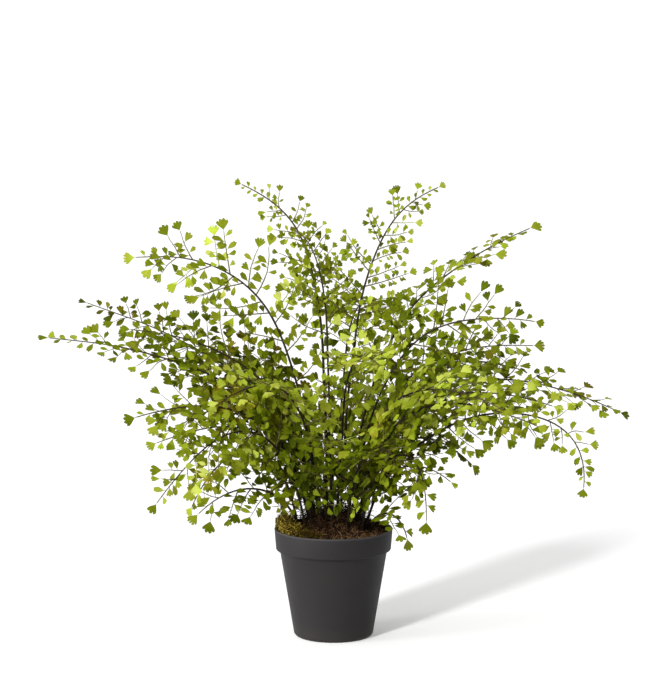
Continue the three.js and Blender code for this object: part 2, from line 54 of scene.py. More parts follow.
WORD = 0xFFFFFFFF

Array = np.ndarray
Socket = bpy.types.NodeSocket
Colour = tuple[float, float, float]
Stops = tuple[tuple[float, Colour], ...]
Pair = tuple[float, float]
Point = tuple[float, float, float]
Row = Sequence[tuple[float, int]]
Object = bpy.types.Object
Material = bpy.types.Material
PHASES = (0, 6.3)


class Hand(Enum):
    """The side of a rib that something grows from."""

    LEFT = 1
    RIGHT = -1

    @classmethod
    def of(cls, number: int) -> "Hand":
        """The left for an odd number, the right for an even one."""
        return cls.LEFT if number % 2 else cls.RIGHT


class Mark(Enum):
    """The numbers that a piece's points carry for its materials."""

    TONE = "tone"
    REACH = "reach"
    SPREAD = "spread"


class LeafForm(Enum):
    """The kinds of leaflet outline."""

    FAN = "fan"
    HALF = "half"
    OVAL = "oval"
    WEDGE = "wedge"


# Small maths


def lerp(start: float, end: float, share: float) -> float:
    """The value at a share of the way from start to end."""
    return start + (end - start) * share


def unit(rows: Array) -> Array:
    """Each vector of an array at length one."""
    lengths = np.linalg.norm(rows, axis=-1, keepdims=True)
    return rows / np.maximum(lengths, 1e-9)


def turn(first: Array, second: Array, angle: float) -> Array:
    """Two directions at right angles, mixed by an angle in radians from the first to the second."""
    return math.cos(angle) * first + math.sin(angle) * second


class Draws:
    """A row of seeded numbers, the same on every run."""

    def __init__(self, seed: int) -> None:
        """Starts the row at a seed."""
        self.state = seed & WORD

    def next(self) -> float:
        """The next number, between 0 and 1.

        Returns:
            The number.
        """
        self.state = (self.state + 0x6D2B79F5) & WORD
        mixed = ((self.state ^ (self.state >> 15)) * (self.state | 1)) & WORD
        mixed ^= (mixed + (mixed ^ (mixed >> 7)) * (mixed | 61)) & WORD
        return ((mixed ^ (mixed >> 14)) & WORD) / (WORD + 1)

    def vary(self, width: float) -> float:
        """The next number, spread evenly over a width round 0."""
        return (self.next() - 0.5) * width


# Growth: where every stem, branch and leaflet is


@dataclass(frozen=True)
class FrondSpec:
    """One frond: bearing, reach and height of its tip, its bow and roll, and how its leaflets are."""

    azimuth: float
    reach: float
    height: float
    crown: float
    bow: float
    roll: float
    leaf: float
    bare: float
    side: float
    tone: float

    @property
    def scale(self) -> float:
        """The size of its leaflets, as a share of the full size."""
        return self.leaf / LEAF.full

    @property
    def pitch(self) -> float:
        """The distance from one side branch to the next."""
        return BRANCH.pitch * math.sqrt(self.scale)


@dataclass(frozen=True)
class Axes:
    """How a rib or a leaflet lies: along it, to its left, and out of its face."""

    along: Array
    side: Array
    normal: Array


@dataclass(frozen=True)
class SoilShape:
    """The sizes of the soil's top."""

    shelf: float = 108
    crown: float = 127
    mound_radius: float = 41

    def height(self, radius: float) -> float:
        """The height of the mound at a distance from the pot's axis."""
        share = min(1.0, radius / self.mound_radius)
        return lerp(self.crown, self.shelf, share * share)


@dataclass(frozen=True)
class StemShape:
    """The sizes of the stems: half widths, how deep they stand, the ring of slanting ones, and the bow."""

    foot: float = 1.1
    middle: float = 0.95
    tip: float = 0.45
    buried: float = 18
    upright: float = 1.5
    ring: float = 38
    bow_most: float = 0.12
    bow_share: float = 0.4
    bow_height: float = 0.8


@dataclass(frozen=True)
class BranchRule:
    """The rule for side branches. Fine ones lie an offset past these, below them, or singly at the end."""

    seed: int = 2606
    fill_seed: int = 13030
    fine_seed: int = 18242
    seed_step: int = 97
    pitch: float = 17.8
    vary_place: float = 0.25
    longest: float = 42
    taper: float = 0.6
    vary_length: float = 0.3
    low_angle: float = 62
    high_angle: float = 46
    vary_angle: float = 8
    vary_tilt: float = 30
    shorter: tuple[float, ...] = (1, 0.7, 0.45)
    fine_shift: float = 0.3
    fine_offset: Pair = (3.5, 8)
    low_from: float = 0.6
    low_to: float = 0.1
    low_pitch: float = 0.85
    low_shares: Pair = (0.2, 0.75)
    low_leaf: float = 9
    end_from: float = 0.8
    end_step: float = 5.2
    end_clear: float = 4
    end_sizes: Pair = (0.62, 0.85)
    end_angle: float = 40


@dataclass(frozen=True)
class LeafRule:
    """The rule that leaflets are placed by. The solids keep one side leaflet in keep_every."""

    full: float = 11
    step: float = 7.8
    first: float = 6.5
    clear_of_tip: float = 3
    angle: float = 62
    vary_angle: float = 16
    vary_tilt: float = 36
    vary_size: float = 0.25
    tip_size: float = 0.8
    side_size: float = 0.95
    vary_side: float = 0.16
    fan: float = 43
    keep_every: int = 5
    missing: float = 0.1
    across_at: float = 0.5
    vary_across: float = 0.4


@dataclass(frozen=True)
class RoomRule:
    """The room kept round sampled points, for what the solids have and for the fine parts between."""

    leaf: float = 1.9
    rib: float = 1.5
    stem: float = 1.5
    fine_leaf: float = 0.25
    fine_rib: float = 0.4
    cell: float = 8
    step: float = 3
    other_tilts: tuple[float, ...] = (0, 14, -14, 28, -28, 42, -42)


SOIL = SoilShape()
STEM = StemShape()
BRANCH = BranchRule()
LEAF = LeafRule()
ROOM = RoomRule()
LEAF_SAMPLES = np.array(
    [[0.28, 0], [0.52, 0], [0.62, -0.6], [0.62, 0.6], [0.85, -0.9], [0.85, -0.3], [0.85, 0.3], [0.85, 0.9]]
)

FRONDS = [
    FrondSpec(*sizes)
    for sizes in (
        (168, 95, 463, 430, 0.08, -80, 8, 0.58, 1.25, 0.5),
        (202, 41, 419, 400, 0.1, -80, 8.2, 0.62, 1.35, 0.5),
        (5, 106, 461, 430, 0.3, 85, 8, 0.5, 1.65, 0.6),
        (23.5, 222, 411, 362, 0.33, 4, 12, 0.42, 1, 0.58),
        (-11, 205, 330, 345, 0.38, 80, 12, 0.42, 1.45, 0.34),
        (14, 212, 294, 300, 0.35, 55, 12, 0.38, 1.15, 0.74),
        (6, 296, 227, 300, 0.42, 22, 12, 0.38, 1.25, 0.55),
        (-13, 258, 165, 284, 1.04, 75, 11, 0.42, 0.8, 0.6),
        (-29, 228, 236, 275, 0.4, 35, 12, 0.36, 1.15, 0.62),
        (22, 155, 168, 225, 0.5, 12, 12, 0.36, 1, 0.42),
        (-38, 118, 134, 232, 1.05, 40, 12.5, 0.4, 0.9, 0.5),
        (-16, 78, 106, 140, 0.8, 20, 12.5, 0.4, 1.2, 0.68),
        (186, 287, 313, 292, 0.38, -32, 11.5, 0.45, 0.78, 0.5),
        (167, 261, 337, 292, 0.4, -45, 12.5, 0.36, 1, 0.24),
        (174.5, 202, 389, 396, 0.34, -80, 12, 0.57, 1.18, 0.52),
        (240, 224, 269, 300, 0.4, -20, 12, 0.38, 1, 0.7),
        (203, 212, 240, 264, 0.48, -55, 12, 0.38, 1.2, 0.5),
        (213.5, 208, 160, 262, 0.5, -75, 11.5, 0.4, 1, 0.6),
        (166, 151, 127, 222, 0.6, -35, 11.5, 0.42, 0.9, 0.55),
        (196, 142, 135, 172, 0.6, -50, 11.5, 0.38, 1, 0.5),
        (282, 208, 309, 322, 0.3, 8, 12, 0.36, 0.92, 0.82),
        (207, 196, 216, 243, 0.45, -45, 12.5, 0.36, 1.2, 0.6),
        (266, 145, 205, 240, 0.45, -5, 11.5, 0.32, 1, 0.38),
        (298, 166, 188, 232, 0.5, 20, 11.5, 0.32, 0.95, 0.4),
        (314, 235, 262, 292, 0.38, 25, 12, 0.38, 1, 0.68),
        (36, 244, 256, 294, 0.38, 10, 12, 0.45, 0.9, 0.5),
        (80, 235, 318, 340, 0.33, 5, 12, 0.6, 0.9, 0.45),
        (136, 245, 262, 292, 0.36, -8, 12, 0.4, 1, 0.42),
        (150, 200, 195, 260, 0.42, -12, 12, 0.4, 1, 0.45),
        (62, 204, 186, 245, 0.45, 8, 11.5, 0.4, 0.9, 0.45),
        (104, 193, 180, 240, 0.45, -6, 11.5, 0.4, 1, 0.45),
        (190, 206, 322, 305, 0.4, -35, 12, 0.38, 1.45, 0.42),
        (-3, 222, 240, 276, 0.42, 35, 12, 0.38, 1.15, 0.7),
        (252, 60, 170, 165, 0.5, -20, 10.5, 0.3, 0.7, 0.4),
        (305, 72, 160, 160, 0.5, 20, 10.5, 0.3, 0.7, 0.36),
        (340, 125, 168, 196, 0.6, 40, 11, 0.35, 0.8, 0.5),
        (222, 85, 160, 175, 0.5, -40, 10.5, 0.3, 0.7, 0.42),
        (92, 62, 190, 180, 0.5, 5, 10.5, 0.3, 0.7, 0.36),
    )
]


class Spine:
    """The middle line of a frond and how its blade lies along it."""

    DIVISIONS = 200
    NUDGE = 1e-4

    def __init__(self, spec: FrondSpec) -> None:
        """Lays the line out from a frond's sizes.

        Args:
            spec: the sizes.
        """
        bearing = math.radians(spec.azimuth)
        outward = np.array([math.cos(bearing), math.sin(bearing), 0.0])
        self.across = np.array([-math.sin(bearing), math.cos(bearing), 0.0])
        self.roll = math.radians(spec.roll)
        lean = math.atan2(spec.reach, spec.height - SOIL.crown)
        foot = STEM.ring * min(1.0, lean / math.radians(90))
        start = SOIL.height(foot) + STEM.upright
        run = spec.reach - foot
        first = min(STEM.bow_most, spec.bow * STEM.bow_share)
        spots = [
            (foot, start),
            (foot + first * run, lerp(start, spec.crown, STEM.bow_height)),
            (foot + spec.bow * run, spec.crown),
            (spec.reach, spec.height),
        ]
        self.knots = np.array([outward * radius + np.array([0, 0, height]) for radius, height in spots])
        self.shares = np.linspace(0, 1, self.DIVISIONS + 1)
        steps = np.diff(self._points(self.shares), axis=0)
        self.lengths = np.concatenate([[0.0], np.cumsum(np.linalg.norm(steps, axis=1))])
        self.length = float(self.lengths[-1])
        self.bare = spec.bare * self.length

    def _points(self, shares: Array) -> Array:
        """The curve's points at shares of its own parameter.

        Args:
            shares: the shares, from 0 to 1.

        Returns:
            One point for each.
        """
        t = shares[:, None]
        a, b, c, d = self.knots
        return (1 - t) ** 3 * a + 3 * (1 - t) ** 2 * t * b + 3 * (1 - t) * t**2 * c + t**3 * d

    def at(self, place: float) -> tuple[Array, Axes]:
        """The point and the axes at a distance along the line.

        Args:
            place: the distance from the foot.

        Returns:
            The point, and how the blade lies there.
        """
        share = min(max(place / self.length, 0.0), 1.0)
        t = np.interp(share * self.length, self.lengths, self.shares)
        ends = self._points(np.clip(np.array([t - self.NUDGE, t + self.NUDGE]), 0, 1))
        along = unit(ends[1] - ends[0])
        side = turn(self.across, np.cross(along, self.across), self.roll)
        return self._points(np.array([t]))[0], Axes(along, side, np.cross(along, side))

    def half(self, place: float) -> float:
        """Half the stem's width at a distance along the line.

        Args:
            place: the distance from the foot.

        Returns:
            The half width.
        """
        if place < self.bare:
            return lerp(STEM.foot, STEM.middle, place / self.bare)
        return lerp(STEM.middle, STEM.tip, (place - self.bare) / (self.length - self.bare))


@dataclass(frozen=True)
class Leaf:
    """A leaflet: its distance along the branch, how it turns off it, and once it has room, how it lies."""

    place: float
    hand: Hand
    angle: float
    tilt: float
    size: float
    axes: Axes | None = None


@dataclass(frozen=True)
class Branch:
    """A side branch, or a lone leaflet when its length is 0, with the leaflets along it."""

    place: float
    hand: Hand
    angle: float
    tilt: float
    length: float
    size: float
    leaves: tuple[Leaf, ...] = ()
    root: Array | None = None
    axes: Axes | None = None


class Plan:
    """All that one frond bears, by the seeded rule."""

    def __init__(self, spec: FrondSpec, number: int) -> None:
        """Lays out the branches of the solid.

        Args:
            spec: the frond's sizes.
            number: which frond it is.
        """
        self.spec, self.number, self.spine = spec, number, Spine(spec)
        start = self.spine.bare
        self.count = math.floor((self.spine.length - start - spec.leaf / 2) / spec.pitch)
        draws = self.draws(BRANCH.seed)
        self.branches = [
            self.branch(k / self.count, start + k * spec.pitch, Hand.of(k + number), k, draws)
            for k in range(self.count)
        ]

    def draws(self, seed: int) -> Draws:
        """The frond's own row of numbers from a seed."""
        return Draws(seed + self.number * BRANCH.seed_step)

    def branch(self, share: float, place: float, hand: Hand, number: int, draws: Draws) -> Branch:
        """One planned branch with its leaflets.

        Args:
            share: how far along the blade it is, from 0 to 1, which makes it smaller.
            place: its distance along the stem, before it is varied.
            hand: its side.
            number: odd if its first leaflet is on the left.
            draws: the frond's seeded numbers.

        Returns:
            The branch, not yet in a place of its own.
        """
        spec, scale = self.spec, self.spec.scale
        longest = BRANCH.longest * scale * spec.side * (1 - share) ** BRANCH.taper
        wanted = longest * (1 + draws.vary(BRANCH.vary_length))
        lone = wanted < spec.leaf
        angle = LEAF.angle if lone else lerp(BRANCH.low_angle, BRANCH.high_angle, share)
        place += draws.vary(spec.pitch * BRANCH.vary_place)
        angle = math.radians(angle + draws.vary(BRANCH.vary_angle))
        tilt = math.radians(draws.vary(BRANCH.vary_tilt))
        size = spec.leaf * (1 + draws.vary(LEAF.vary_size)) * lerp(1, LEAF.tip_size, share)
        length = 0.0 if lone else wanted
        leaves: list[Leaf] = []
        spot = LEAF.first * scale
        while spot + LEAF.step * scale < length:
            leaf_angle = math.radians(LEAF.angle + draws.vary(LEAF.vary_angle))
            leaf_tilt = math.radians(draws.vary(LEAF.vary_tilt))
            leaf_size = size * (LEAF.side_size + draws.vary(LEAF.vary_side))
            leaves.append(Leaf(spot, Hand.of(len(leaves) + number), leaf_angle, leaf_tilt, leaf_size))
            spot += LEAF.step * scale
        return Branch(place, hand, angle, tilt, length, size, tuple(leaves))


def sprout(rib: Axes, hand: Hand, angle: float, tilt: float) -> Axes:
    """The axes of what leaves a rib at an angle, tilted out of the rib's plane.

    Args:
        rib: the rib's axes.
        hand: the side it leaves from.
        angle: radians from the rib's direction.
        tilt: radians out of the rib's plane.

    Returns:
        The axes of the new branch or leaflet.
    """
    outward = rib.side * hand.value
    along = turn(rib.along, turn(outward, rib.normal, tilt), angle)
    normal = turn(rib.normal, -outward, tilt)
    return Axes(along, np.cross(normal, along), normal)


def leaf_points(origin: Array, axes: Axes, size: float) -> Array:
    """The sampled points that stand for the room of a leaflet.

    Args:
        origin: where the leaflet leaves its rib.
        axes: how it lies.
        size: its length.

    Returns:
        One point for each row of shares of its length and of its half angle.
    """
    left = np.cross(axes.normal, axes.along)
    angles = LEAF_SAMPLES[:, 1:] * math.radians(LEAF.fan)
    return origin + size * LEAF_SAMPLES[:, :1] * (np.cos(angles) * axes.along + np.sin(angles) * left)


class Room:
    """The room that is taken: sampled points in cells, each with a radius and what it belongs to."""

    def __init__(self) -> None:
        """Starts with no room taken."""
        self.cells: dict[tuple[int, ...], list[tuple[list[float], float, object]]] = {}

    @staticmethod
    def _cell(point: list[float]) -> tuple[int, ...]:
        """The cell that a point is in."""
        return tuple(math.floor(value / ROOM.cell) for value in point)

    def take(self, points: Array, radius: float, owner: object = None) -> None:
        """Takes the room round some points, for an owner or against all."""
        for point in points.tolist():
            self.cells.setdefault(self._cell(point), []).append((point, radius, owner))

    def free(self, points: Array, radius: float, own: object = None) -> bool:
        """Whether no point comes near a taken one.

        Args:
            points: the points to test.
            radius: the room that they need.
            own: the owner whose room doesn't count.

        Returns:
            True if all the points have room.
        """
        for point in points.tolist():
            for cell in product(*((place - 1, place, place + 1) for place in self._cell(point))):
                for other, other_radius, owner in self.cells.get(cell, ()):
                    near = math.dist(other, point) < other_radius + radius
                    if near and (owner is None or owner is not own):
                        return False
        return True


class Growth:
    """Plans every frond and finds room for each branch and leaflet, first those of the solids and then more.

    The room of a branch belongs to its axes, so that its leaflets may touch it. A stem's belongs to its plan.
    """

    def __init__(self, specs: Sequence[FrondSpec]) -> None:
        """Grows the fronds of the given sizes.

        Args:
            specs: the sizes of each frond.
        """
        self.room = Room()
        self.plans = [Plan(spec, number) for number, spec in enumerate(specs)]
        self._settle()
        for plan in self.plans:
            draws = plan.draws(BRANCH.fill_seed)
            plan.branches = [self._filled(branch, draws) for branch in plan.branches]
        for plan in self.plans:
            self._add_branches(plan)

    def _settle_branch(self, plan: Plan, branch: Branch, fine: bool) -> Branch | None:
        """Finds a tilt and a length at which a branch has room.

        Args:
            plan: the frond that it is on.
            branch: the planned branch.
            fine: whether it is one of those between the solids'.

        Returns:
            The branch in its place, or None.
        """
        origin, rib = plan.spine.at(branch.place)
        root = origin + rib.side * (branch.hand.value * plan.spine.half(branch.place))
        leaf_room, rib_room = (ROOM.fine_leaf, ROOM.fine_rib) if fine else (ROOM.leaf, ROOM.rib)
        lone = branch.length == 0
        for shorter, extra in product((1.0,) if lone else BRANCH.shorter, ROOM.other_tilts):
            axes = sprout(rib, branch.hand, branch.angle, branch.tilt + math.radians(extra))
            length = branch.length * shorter
            on_rib = root + np.arange(ROOM.step, length, ROOM.step)[:, None] * axes.along
            on_leaf = leaf_points(root + axes.along * length, axes, branch.size)
            leaf_free = self.room.free(on_leaf, leaf_room, plan if lone else None)
            if leaf_free and self.room.free(on_rib, rib_room, plan):
                self.room.take(on_rib, rib_room, axes)
                self.room.take(on_leaf, leaf_room, axes)
                leaves = tuple(leaf for leaf in branch.leaves if leaf.place < length - LEAF.clear_of_tip)
                return replace(branch, root=root, axes=axes, length=length, leaves=leaves)
        return None

    def _settle_leaf(self, branch: Branch, leaf: Leaf, fine: bool) -> Leaf | None:
        """Finds a tilt at which a leaflet has room.

        Args:
            branch: the settled branch that it is on.
            leaf: the planned leaflet.
            fine: whether it is one of those between the solids'.

        Returns:
            The leaflet with its axes, or None.
        """
        origin = branch.root + branch.axes.along * leaf.place
        leaf_room = ROOM.fine_leaf if fine else ROOM.leaf
        for extra in ROOM.other_tilts:
            axes = sprout(branch.axes, leaf.hand, leaf.angle, leaf.tilt + math.radians(extra))
            samples = leaf_points(origin, axes, leaf.size)
            if self.room.free(samples, leaf_room, branch.axes):
                self.room.take(samples, leaf_room)
                return replace(leaf, axes=axes)
        return None

    def _settle(self) -> None:
        """Gives room to what the solids have: every stem, then the branches, then the leaflets on them."""
        for plan in self.plans:
            spine = plan.spine
            stem = [spine.at(place)[0] for place in np.arange(0, spine.length, ROOM.step)]
            self.room.take(np.array(stem), ROOM.stem, plan)
            self.room.take(leaf_points(*spine.at(spine.length), plan.spec.leaf), ROOM.leaf)
        for plan in self.plans:
            tried = [self._settle_branch(plan, branch, False) for branch in plan.branches]
            plan.branches = [branch for branch in tried if branch]
        for plan in self.plans:
            for k, branch in enumerate(plan.branches):
                leaves = [
                    self._settle_leaf(branch, leaf, False) if number % LEAF.keep_every == 1 else leaf
                    for number, leaf in enumerate(branch.leaves)
                ]
                plan.branches[k] = replace(branch, leaves=tuple(leaf for leaf in leaves if leaf))

    def _filled(self, branch: Branch, draws: Draws) -> Branch:
        """Gives room to the leaflets of a branch that had none, and adds one across from each.

        Args:
            branch: the settled branch.
            draws: the frond's seeded numbers.

        Returns:
            The branch with all its leaflets.
        """
        leaves = [leaf if leaf.axes else self._settle_leaf(branch, leaf, True) for leaf in branch.leaves]
        shift = LEAF.step * branch.size / LEAF.full
        before = [replace(leaf, place=leaf.place - shift) for leaf in branch.leaves[:1]]
        for leaf in [*before, *branch.leaves]:
            place = leaf.place + (LEAF.across_at + draws.vary(LEAF.vary_across)) * shift
            if draws.next() > LEAF.missing and place < branch.length - LEAF.clear_of_tip:
                size = leaf.size * (1 + draws.vary(LEAF.vary_size))
                tilt = leaf.tilt + math.radians(draws.vary(LEAF.vary_tilt))
                across = replace(leaf, place=place, hand=Hand(-leaf.hand.value), size=size, tilt=tilt)
                leaves.append(self._settle_leaf(branch, across, True))
        return replace(branch, leaves=tuple(leaf for leaf in leaves if leaf))

    def _add(self, plan: Plan, branch: Branch, draws: Draws) -> None:
        """Adds a fine branch with its leaflets to a plan, if there is room for it.

        Args:
            plan: the frond's plan.
            branch: the planned branch.
            draws: the frond's seeded numbers.
        """
        settled = self._settle_branch(plan, branch, True)
        if settled:
            plan.branches.append(self._filled(settled, draws))

    def _add_branches(self, plan: Plan) -> None:
        """Adds the fine branches of a frond: between the solid's, below them, and leaflets to the tip.

        Args:
            plan: the frond's plan.
        """
        draws = plan.draws(BRANCH.fine_seed)
        bare, pitch = plan.spine.bare, plan.spec.pitch
        for k in range(plan.count):
            place = bare + k * pitch + lerp(*BRANCH.fine_offset, draws.next())
            share = (k + BRANCH.fine_shift) / plan.count
            self._add(plan, plan.branch(share, place, Hand.of(k + plan.number + 1), k + 1, draws), draws)
        stretch = bare - bare * BRANCH.low_to
        low_pitch = pitch * BRANCH.low_pitch
        for k in range(math.floor(stretch / low_pitch) if plan.spec.leaf > BRANCH.low_leaf else 0):
            place = bare - (k + BRANCH.low_from) * pitch * BRANCH.low_pitch
            share = lerp(*BRANCH.low_shares, (bare - place) / stretch)
            self._add(plan, plan.branch(share, place, Hand.of(k), k, draws), draws)
        self._add_end(plan, draws)

    def _add_end(self, plan: Plan, draws: Draws) -> None:
        """Adds single leaflets along the last stretch of a stem, smaller and smaller to its tip.

        Args:
            plan: the frond's plan.
            draws: the frond's seeded numbers.
        """
        spine, spec, number = plan.spine, plan.spec, plan.number
        place = lerp(spine.bare, spine.length, BRANCH.end_from)
        while place < spine.length - BRANCH.end_clear:
            left = (spine.length - place) / (spine.length - spine.bare) / (1 - BRANCH.end_from)
            size = spec.leaf * lerp(*BRANCH.end_sizes, left) * (1 + draws.vary(LEAF.vary_size))
            angle = math.radians(lerp(BRANCH.end_angle, LEAF.angle, left) + draws.vary(LEAF.vary_angle))
            tilt = math.radians(draws.vary(LEAF.vary_tilt))
            self._add(plan, Branch(place, Hand.of(number), angle, tilt, 0.0, size), draws)
            place += BRANCH.end_step * spec.scale
            number += 1


# Meshes


def stand(
    name: str, data: bpy.types.ID, spot: Point = (0, 0, 0), towards: Vector | None = None, axis: str = "Z"
) -> Object:
    """Adds an object to the scene.

    Args:
        name: its name.
        data: its mesh, light or camera.
        spot: where it is, in metres.
        towards: which way one of its axes points, or None to leave it unturned.
        axis: which axis that is.

    Returns:
        The object.
    """
    made = bpy.data.objects.new(name, data)
    made.location = spot
    if towards:
        made.rotation_mode = "QUATERNION"
        made.rotation_quaternion = towards.to_track_quat(axis, "Y")
    bpy.context.scene.collection.objects.link(made)
    return made


class Skin:
    """The triangles of one piece, gathered part by part."""

    def __init__(self) -> None:
        """Starts with no triangles."""
        self.points: list[Array] = []
        self.triangles: list[Array] = []
        self.slots: list[Array] = []
        self.marks: dict[Mark, list[Array]] = {mark: [] for mark in Mark}
        self.count = 0

    def add(
        self, points: Array, triangles: Array, slot: int = 0, marks: dict[Mark, Array | float] | None = None
    ) -> None:
        """Adds a part.

        Args:
            points: one row for each point, in millimetres.
            triangles: rows of three of the part's own point numbers.
            slot: the number of its material.
            marks: a number for each point, or one for all, by mark.
        """
        points = points.reshape(-1, 3)
        self.points.append(points)
        self.triangles.append(triangles.reshape(-1, 3) + self.count)
        self.slots.append(np.full(len(self.triangles[-1]), slot, np.int32))
        for mark in Mark:
            value = np.asarray((marks or {}).get(mark, 0.0), float)
            self.marks[mark].append(np.broadcast_to(value.ravel(), (len(points),)))
        self.count += len(points)

    def piece(self, name: str, materials: Sequence[Material], sharp: float = 50) -> Object:
        """Makes the Blender object.

        Args:
            name: the piece's name.
            materials: its materials in the order of their slot numbers.
            sharp: edges that turn more than this many degrees stay sharp.

        Returns:
            The object, linked to the scene.
        """
        points = np.concatenate(self.points) * MM
        triangles = np.concatenate(self.triangles).astype(np.int32)
        mesh = bpy.data.meshes.new(name)
        mesh.vertices.add(len(points))
        mesh.vertices.foreach_set("co", points.astype(np.float32).ravel())
        mesh.loops.add(triangles.size)
        mesh.loops.foreach_set("vertex_index", triangles.ravel())
        mesh.polygons.add(len(triangles))
        mesh.polygons.foreach_set("loop_start", np.arange(0, triangles.size, 3, dtype=np.int32))
        for material in materials:
            mesh.materials.append(material)
        mesh.polygons.foreach_set("material_index", np.concatenate(self.slots))
        mesh.polygons.foreach_set("use_smooth", np.ones(len(triangles), bool))
        mesh.update(calc_edges=True)
        for mark, values in self.marks.items():
            layer = mesh.attributes.new(mark.value, "FLOAT", "POINT")
            layer.data.foreach_set("value", np.concatenate(values).astype(np.float32))
        mesh.set_sharp_from_angle(angle=math.radians(sharp))
        return stand(name, mesh)


def ring_faces(rings: int, sides: int) -> Array:
    """Triangles that close a row of rings, whose two end points come after the rings.

    Args:
        rings: how many rings there are.
        sides: how many points each has.

    Returns:
        Rows of three point numbers, facing out where the rings go up and turn to the left.
    """
    side = np.arange(sides)
    beside = (side + 1) % sides
    faces = []
    for ring in range(rings - 1):
        a, b = ring * sides + side, ring * sides + beside
        faces += [(a, b, b + sides), (a, b + sides, a + sides)]
    end, last = np.full(sides, rings * sides), (rings - 1) * sides
    faces += [(end, beside, side), (end + 1, last + side, last + beside)]
    return np.concatenate([np.stack(corners, -1) for corners in faces])


def tubes(paths: Array, radii: Array, refs: Array, sides: int) -> tuple[Array, Array]:
    """Round closed tubes along paths that all have the same number of points.

    Args:
        paths: tube, point along it, coordinate.
        radii: tube, point along it.
        refs: a direction across each tube.
        sides: how many sides each tube has.

    Returns:
        The points, tube by tube, and the triangles.
    """
    count, length, _ = paths.shape
    tangents = unit(np.gradient(paths, axis=1))
    first = unit(np.cross(tangents, refs[:, None, :]))
    second = np.cross(tangents, first)
    angles = np.arange(sides) * (2 * math.pi / sides)
    across = np.cos(angles)[:, None] * first[:, :, None, :] + np.sin(angles)[:, None] * second[:, :, None, :]
    rings = paths[:, :, None, :] + radii[:, :, None, None] * across
    points = np.concatenate([rings.reshape(count, -1, 3), paths[:, :1], paths[:, -1:]], axis=1)
    offsets = np.arange(count)[:, None, None] * points.shape[1]
    return points, ring_faces(length, sides)[None, :, ::-1] + offsets


def lathe(profile: Sequence[Pair], segments: int) -> tuple[Array, Array]:
    """A profile that starts and ends on the axis, turned round it.

    Args:
        profile: radius and height of each point.
        segments: how many steps go round.

    Returns:
        The points, ring by ring with the axis points last, and the triangles.
    """
    rings = np.array(profile[1:-1])
    angles = np.arange(segments) * (2 * math.pi / segments)
    around = np.stack([np.cos(angles), np.sin(angles)], axis=-1)
    heights = np.broadcast_to(rings[:, None, 1:], (len(rings), segments, 1))
    points = np.concatenate([rings[:, None, :1] * around, heights], axis=-1).reshape(-1, 3)
    ends = np.array([[0, 0, profile[0][1]], [0, 0, profile[-1][1]]])
    return np.concatenate([points, ends]), ring_faces(len(rings), segments)


def band(first: Row, second: Row) -> list[tuple[int, int, int]]:
    """Triangles between two rows of points.

    Args:
        first: the inner row, as share across and point number.
        second: the outer row, likewise.

    Returns:
        The triangles, seen from above in a turn to the left.
    """
    i, j, faces = 0, 0, []
    while i < len(first) - 1 or j < len(second) - 1:
        inner = first[i + 1][0] if i < len(first) - 1 else math.inf
        outer = second[j + 1][0] if j < len(second) - 1 else math.inf
        if inner <= outer:
            faces.append((first[i][1], first[i + 1][1], second[j][1]))
            i += 1
        else:
            faces.append((first[i][1], second[j + 1][1], second[j][1]))
            j += 1
    return faces


@dataclass(frozen=True)
class LeafOutline:
    """The outline of a leaflet one unit long: a wedge that opens from its stalk to a cut and toothed edge."""

    low: float
    high: float
    lobes: int
    cut: float
    slant: float
    round: float
    seed: int
    stalk: float = 0.14
    rows: tuple[tuple[float, int], ...] = ((0.36, 3), (0.66, 6))
    teeth: tuple[Pair, ...] = ((0.12, 0.9), (0.36, 1.0), (0.6, 0.95), (0.86, 0.92))
    vary_cut: float = 0.9
    vary_lobe: float = 0.07
    vary_tooth: float = 0.02

    def reach(self, share: float) -> float:
        """The outline's length at a share across it, before its cuts."""
        return (1 - self.slant * (share + 1) / 2) * (1 - self.round * share * share)

    def margin(self) -> list[Pair]:
        """The cut outer edge.

        Returns:
            Its points, as share across and reach.
        """
        draws = Draws(self.seed)
        width = 2 / self.lobes
        edge: list[Pair] = []
        for lobe in range(self.lobes):
            start = -1 + lobe * width
            if lobe:
                edge.append((start, self.reach(start) * (1 - self.cut * (1 + draws.vary(self.vary_cut)))))
            size = 1 + draws.vary(self.vary_lobe)
            for spot, reach in self.teeth:
                share = start + width * spot
                edge.append((share, self.reach(share) * min(1.0, reach * size + draws.vary(self.vary_tooth))))
        return edge


